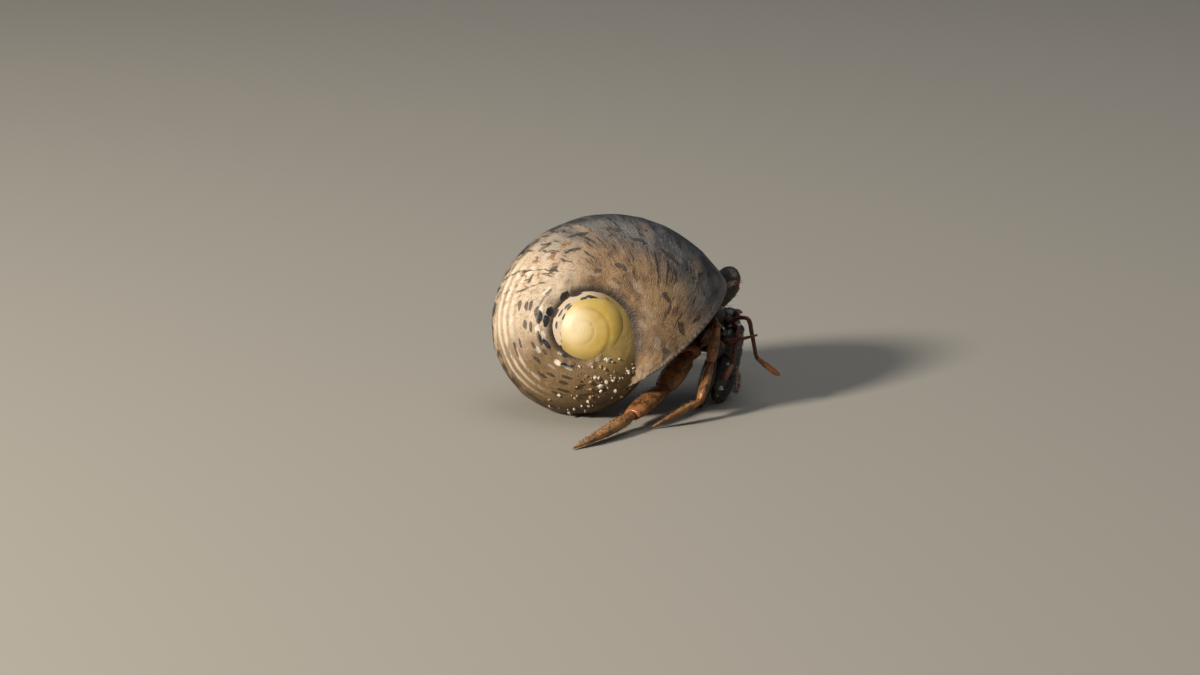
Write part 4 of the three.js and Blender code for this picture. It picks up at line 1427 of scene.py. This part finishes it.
sections = rounded_end(BELLY_START, [(-7.0, 1.9), (-5.0, 0.9), (-2.5, 0.25)])
sections += whorl_sections(BELLY_START, BELLY_END, BELLY_STEP, **BELLY)
sections += rounded_end(BELLY_END, [(3.0, 0.15), (6.0, 0.55), (9.0, 1.1)])
bm = bmesh.new()
_, first, last = sweep(bm, sections, 40)
close_end(bm, first, sections[0][0].translation)
close_end(bm, last, sections[-1][0].translation)
bmesh.ops.recalc_face_normals(bm, faces=bm.faces)
bm.normal_update()
along = layer(bm, "turn")
for vert in bm.verts:
    fold = 0.10 * math.sin(vert[along] * math.tau * FOLDS) + 0.08 * noise.noise(vert.co / 1.5)
    vert.co += vert.normal * (fold - 0.1)
bmesh.ops.transform(bm, matrix=SHELL_FRAME, verts=bm.verts)
finish_piece(bm, "belly_skin", [belly_material], ["belly"])

# %% [markdown]
# ## Bristles
# Stiff hairs stand in small tufts on the plates, longest on the feet. Each hair is a thin
# three-sided cone that is bent towards the tip of its limb. Every tuft is one tiny patch of the
# unwrap at its root's place, so that it takes the colour of that place when colours are baked.

# %% Bristles
TUFT_HAIRS = 3
HAIR_BASE = 0.016
PATCH = 0.003


def hair_mesh(count):
    """At least `count` straight hairs of unit length: one is modelled and then doubled."""
    bm = bmesh.new()
    bmesh.ops.create_cone(
        bm, segments=3, cap_ends=True, radius1=1.0, radius2=0.0, depth=1.0,
        matrix=Matrix.Translation((0.0, 0.0, 0.5)),
    )
    everything = bm.verts[:] + bm.edges[:] + bm.faces[:]
    bmesh.ops.bisect_plane(bm, geom=everything, plane_co=(0.0, 0.0, 0.45), plane_no=(0.0, 0.0, 1.0))
    have = 1
    while have < count:
        bmesh.ops.duplicate(bm, geom=bm.verts[:] + bm.edges[:] + bm.faces[:])
        have *= 2
    return bm


def loose_parts(bm):
    """The vertices of each loose part of the mesh, as lists."""
    seen, parts = set(), []
    for vert in bm.verts:
        if vert in seen:
            continue
        part = [vert]
        seen.add(vert)
        for member in part:
            for edge in member.link_edges:
                other = edge.other_vert(member)
                if other not in seen:
                    seen.add(other)
                    part.append(other)
        parts.append(part)
    return parts


bm = hair_mesh(len(bristle_roots) * TUFT_HAIRS)
along = layer(bm, "turn")
uv_layer = bm.loops.layers.uv.new("OFBake")
hairs = loose_parts(bm)
print("hairs:", len(hairs), "for", len(bristle_roots), "tufts")

# %% [markdown]
# ## Planting the bristles
# Each hair leans from its plate's normal towards the tip of the limb and sways a little by
# chance. Where it would reach the floor it is turned up. The hairs that are left over go.

# %% Planting
SWAY, BEND = 0.28, 0.3

chosen = random.Random(11)
for root, normal, heading, length, unwrap in bristle_roots:
    lean = (heading - normal * heading.dot(normal)).normalized()
    stretch = Matrix.Diagonal((HAIR_BASE, HAIR_BASE, length, 1.0))
    for number in range(TUFT_HAIRS):
        sway = Vector([chosen.uniform(-1, 1) for _ in range(3)]) * SWAY
        direction = (normal * 0.75 + lean * 0.6 + sway).normalized()
        start = root - normal * 0.03 + sway * 0.12
        if (start + direction * length).z < 0.1:
            direction = (direction + Vector((0.0, 0.0, 0.9))).normalized()
        turned = direction.to_track_quat("Z", "Y").to_matrix().to_4x4()
        place = Matrix.Translation(start) @ turned @ stretch
        for vert in hairs.pop():
            share = vert.co.z
            vert[along] = share
            vert.co = place @ vert.co + lean * length * BEND * share**2
            for loop in vert.link_loops:
                loop[uv_layer].uv = (unwrap[0] + PATCH * share, unwrap[1] + PATCH * 0.3 * number)
bmesh.ops.delete(bm, geom=[vert for hair in hairs for vert in hair], context="VERTS")
finish_piece(bm, "bristles", [bristle_material])

# %% [markdown]
# ## Grains of sand
# A crab that has just walked out of wet sand carries some of it. About a hundred grains cling to
# the foot of the shell and some forty to the claw. Each is a small rough ball, flattened by chance.

# %% Sand grains
GRAIN_SPOTS = 110
GRAIN_ANGLES, GRAIN_TURNS = (-30.0, 80.0), (0.60, 0.86)
SMALLEST_GRAIN, GRAIN_RANGE = 0.07, 0.20


def shell_spots(count, seed):
    """Places on the outside of the shell, on its lower right, where damp sand clings."""
    chosen = random.Random(seed)
    found = []
    while len(found) < count:
        angle = chosen.uniform(*GRAIN_ANGLES)
        turn = chosen.uniform(*GRAIN_TURNS)
        if chosen.random() > soft_step(turn, 0.58, 0.74) * soft_step(angle, -30, 25):
            continue
        point = shell_point(turn, angle)
        if point.z > 0.4:
            found.append(point)
    return found


bm = bmesh.new()
tint = layer(bm, "around")
chosen = random.Random(5)
for spot in shell_spots(GRAIN_SPOTS, 3) + claw_spots:
    radius = SMALLEST_GRAIN + GRAIN_RANGE * chosen.random() ** 2
    stretch = Matrix.Diagonal([chosen.uniform(0.6, 1.3) for _ in range(3)]).to_4x4()
    turned = Matrix.Rotation(chosen.uniform(0, math.tau), 4, Vector((1, chosen.random(), 0.3)))
    grain = bmesh.ops.create_icosphere(
        bm, subdivisions=2, radius=radius, matrix=Matrix.Translation(spot) @ turned @ stretch
    )["verts"]
    shade = chosen.random()
    for vert in grain:
        vert[tint] = shade
        vert.co += (vert.co - spot) * 0.9 * noise.noise(vert.co / 0.13)
finish_piece(bm, "sand_grains", [sand_material])

# %% [markdown]
# ## Light and floor
# Low, warm light from the front left brings out the relief of the shell, as the sun does early in
# the day, and a large soft light from above keeps the far side readable.

# %% Studio
floor_bm = bmesh.new()
bmesh.ops.create_grid(floor_bm, x_segments=1, y_segments=1, size=2.0)
floor_mesh = bpy.data.meshes.new("floor")
floor_bm.to_mesh(floor_mesh)
floor_bm.free()
floor_material, g, shader = new_material("floor_paper", 0.85)
shader["Base Color"].default_value = (0.31, 0.285, 0.245, 1.0)
floor_mesh.materials.append(floor_material)
floor = bpy.data.objects.new("floor", floor_mesh)
bpy.context.scene.collection.objects.link(floor)


def area_light(name, place, size, power, colour):
    data = bpy.data.lights.new(name, "AREA")
    data.shape = "DISK"
    data.size = size
    data.energy = power
    data.color = colour
    lamp = bpy.data.objects.new(name, data)
    lamp.location = place
    lamp.rotation_euler = (Vector((0, 0, 0.01)) - Vector(place)).to_track_quat("-Z", "Y").to_euler()
    bpy.context.scene.collection.objects.link(lamp)


area_light("key", (-0.41, -0.24, 0.27), 0.09, 4.6, (1.0, 0.93, 0.82))
area_light("top", (0.05, 0.10, 0.50), 0.45, 0.7, (0.92, 0.96, 1.0))
world = bpy.data.worlds.new("studio")
world.use_nodes = True
sky = world.node_tree.nodes["Background"].inputs
sky["Color"].default_value = (0.80, 0.85, 0.92, 1.0)
sky["Strength"].default_value = 0.17
bpy.context.scene.world = world
bpy.context.scene.view_settings.view_transform = "Standard"
print("lights: key, top and sky")
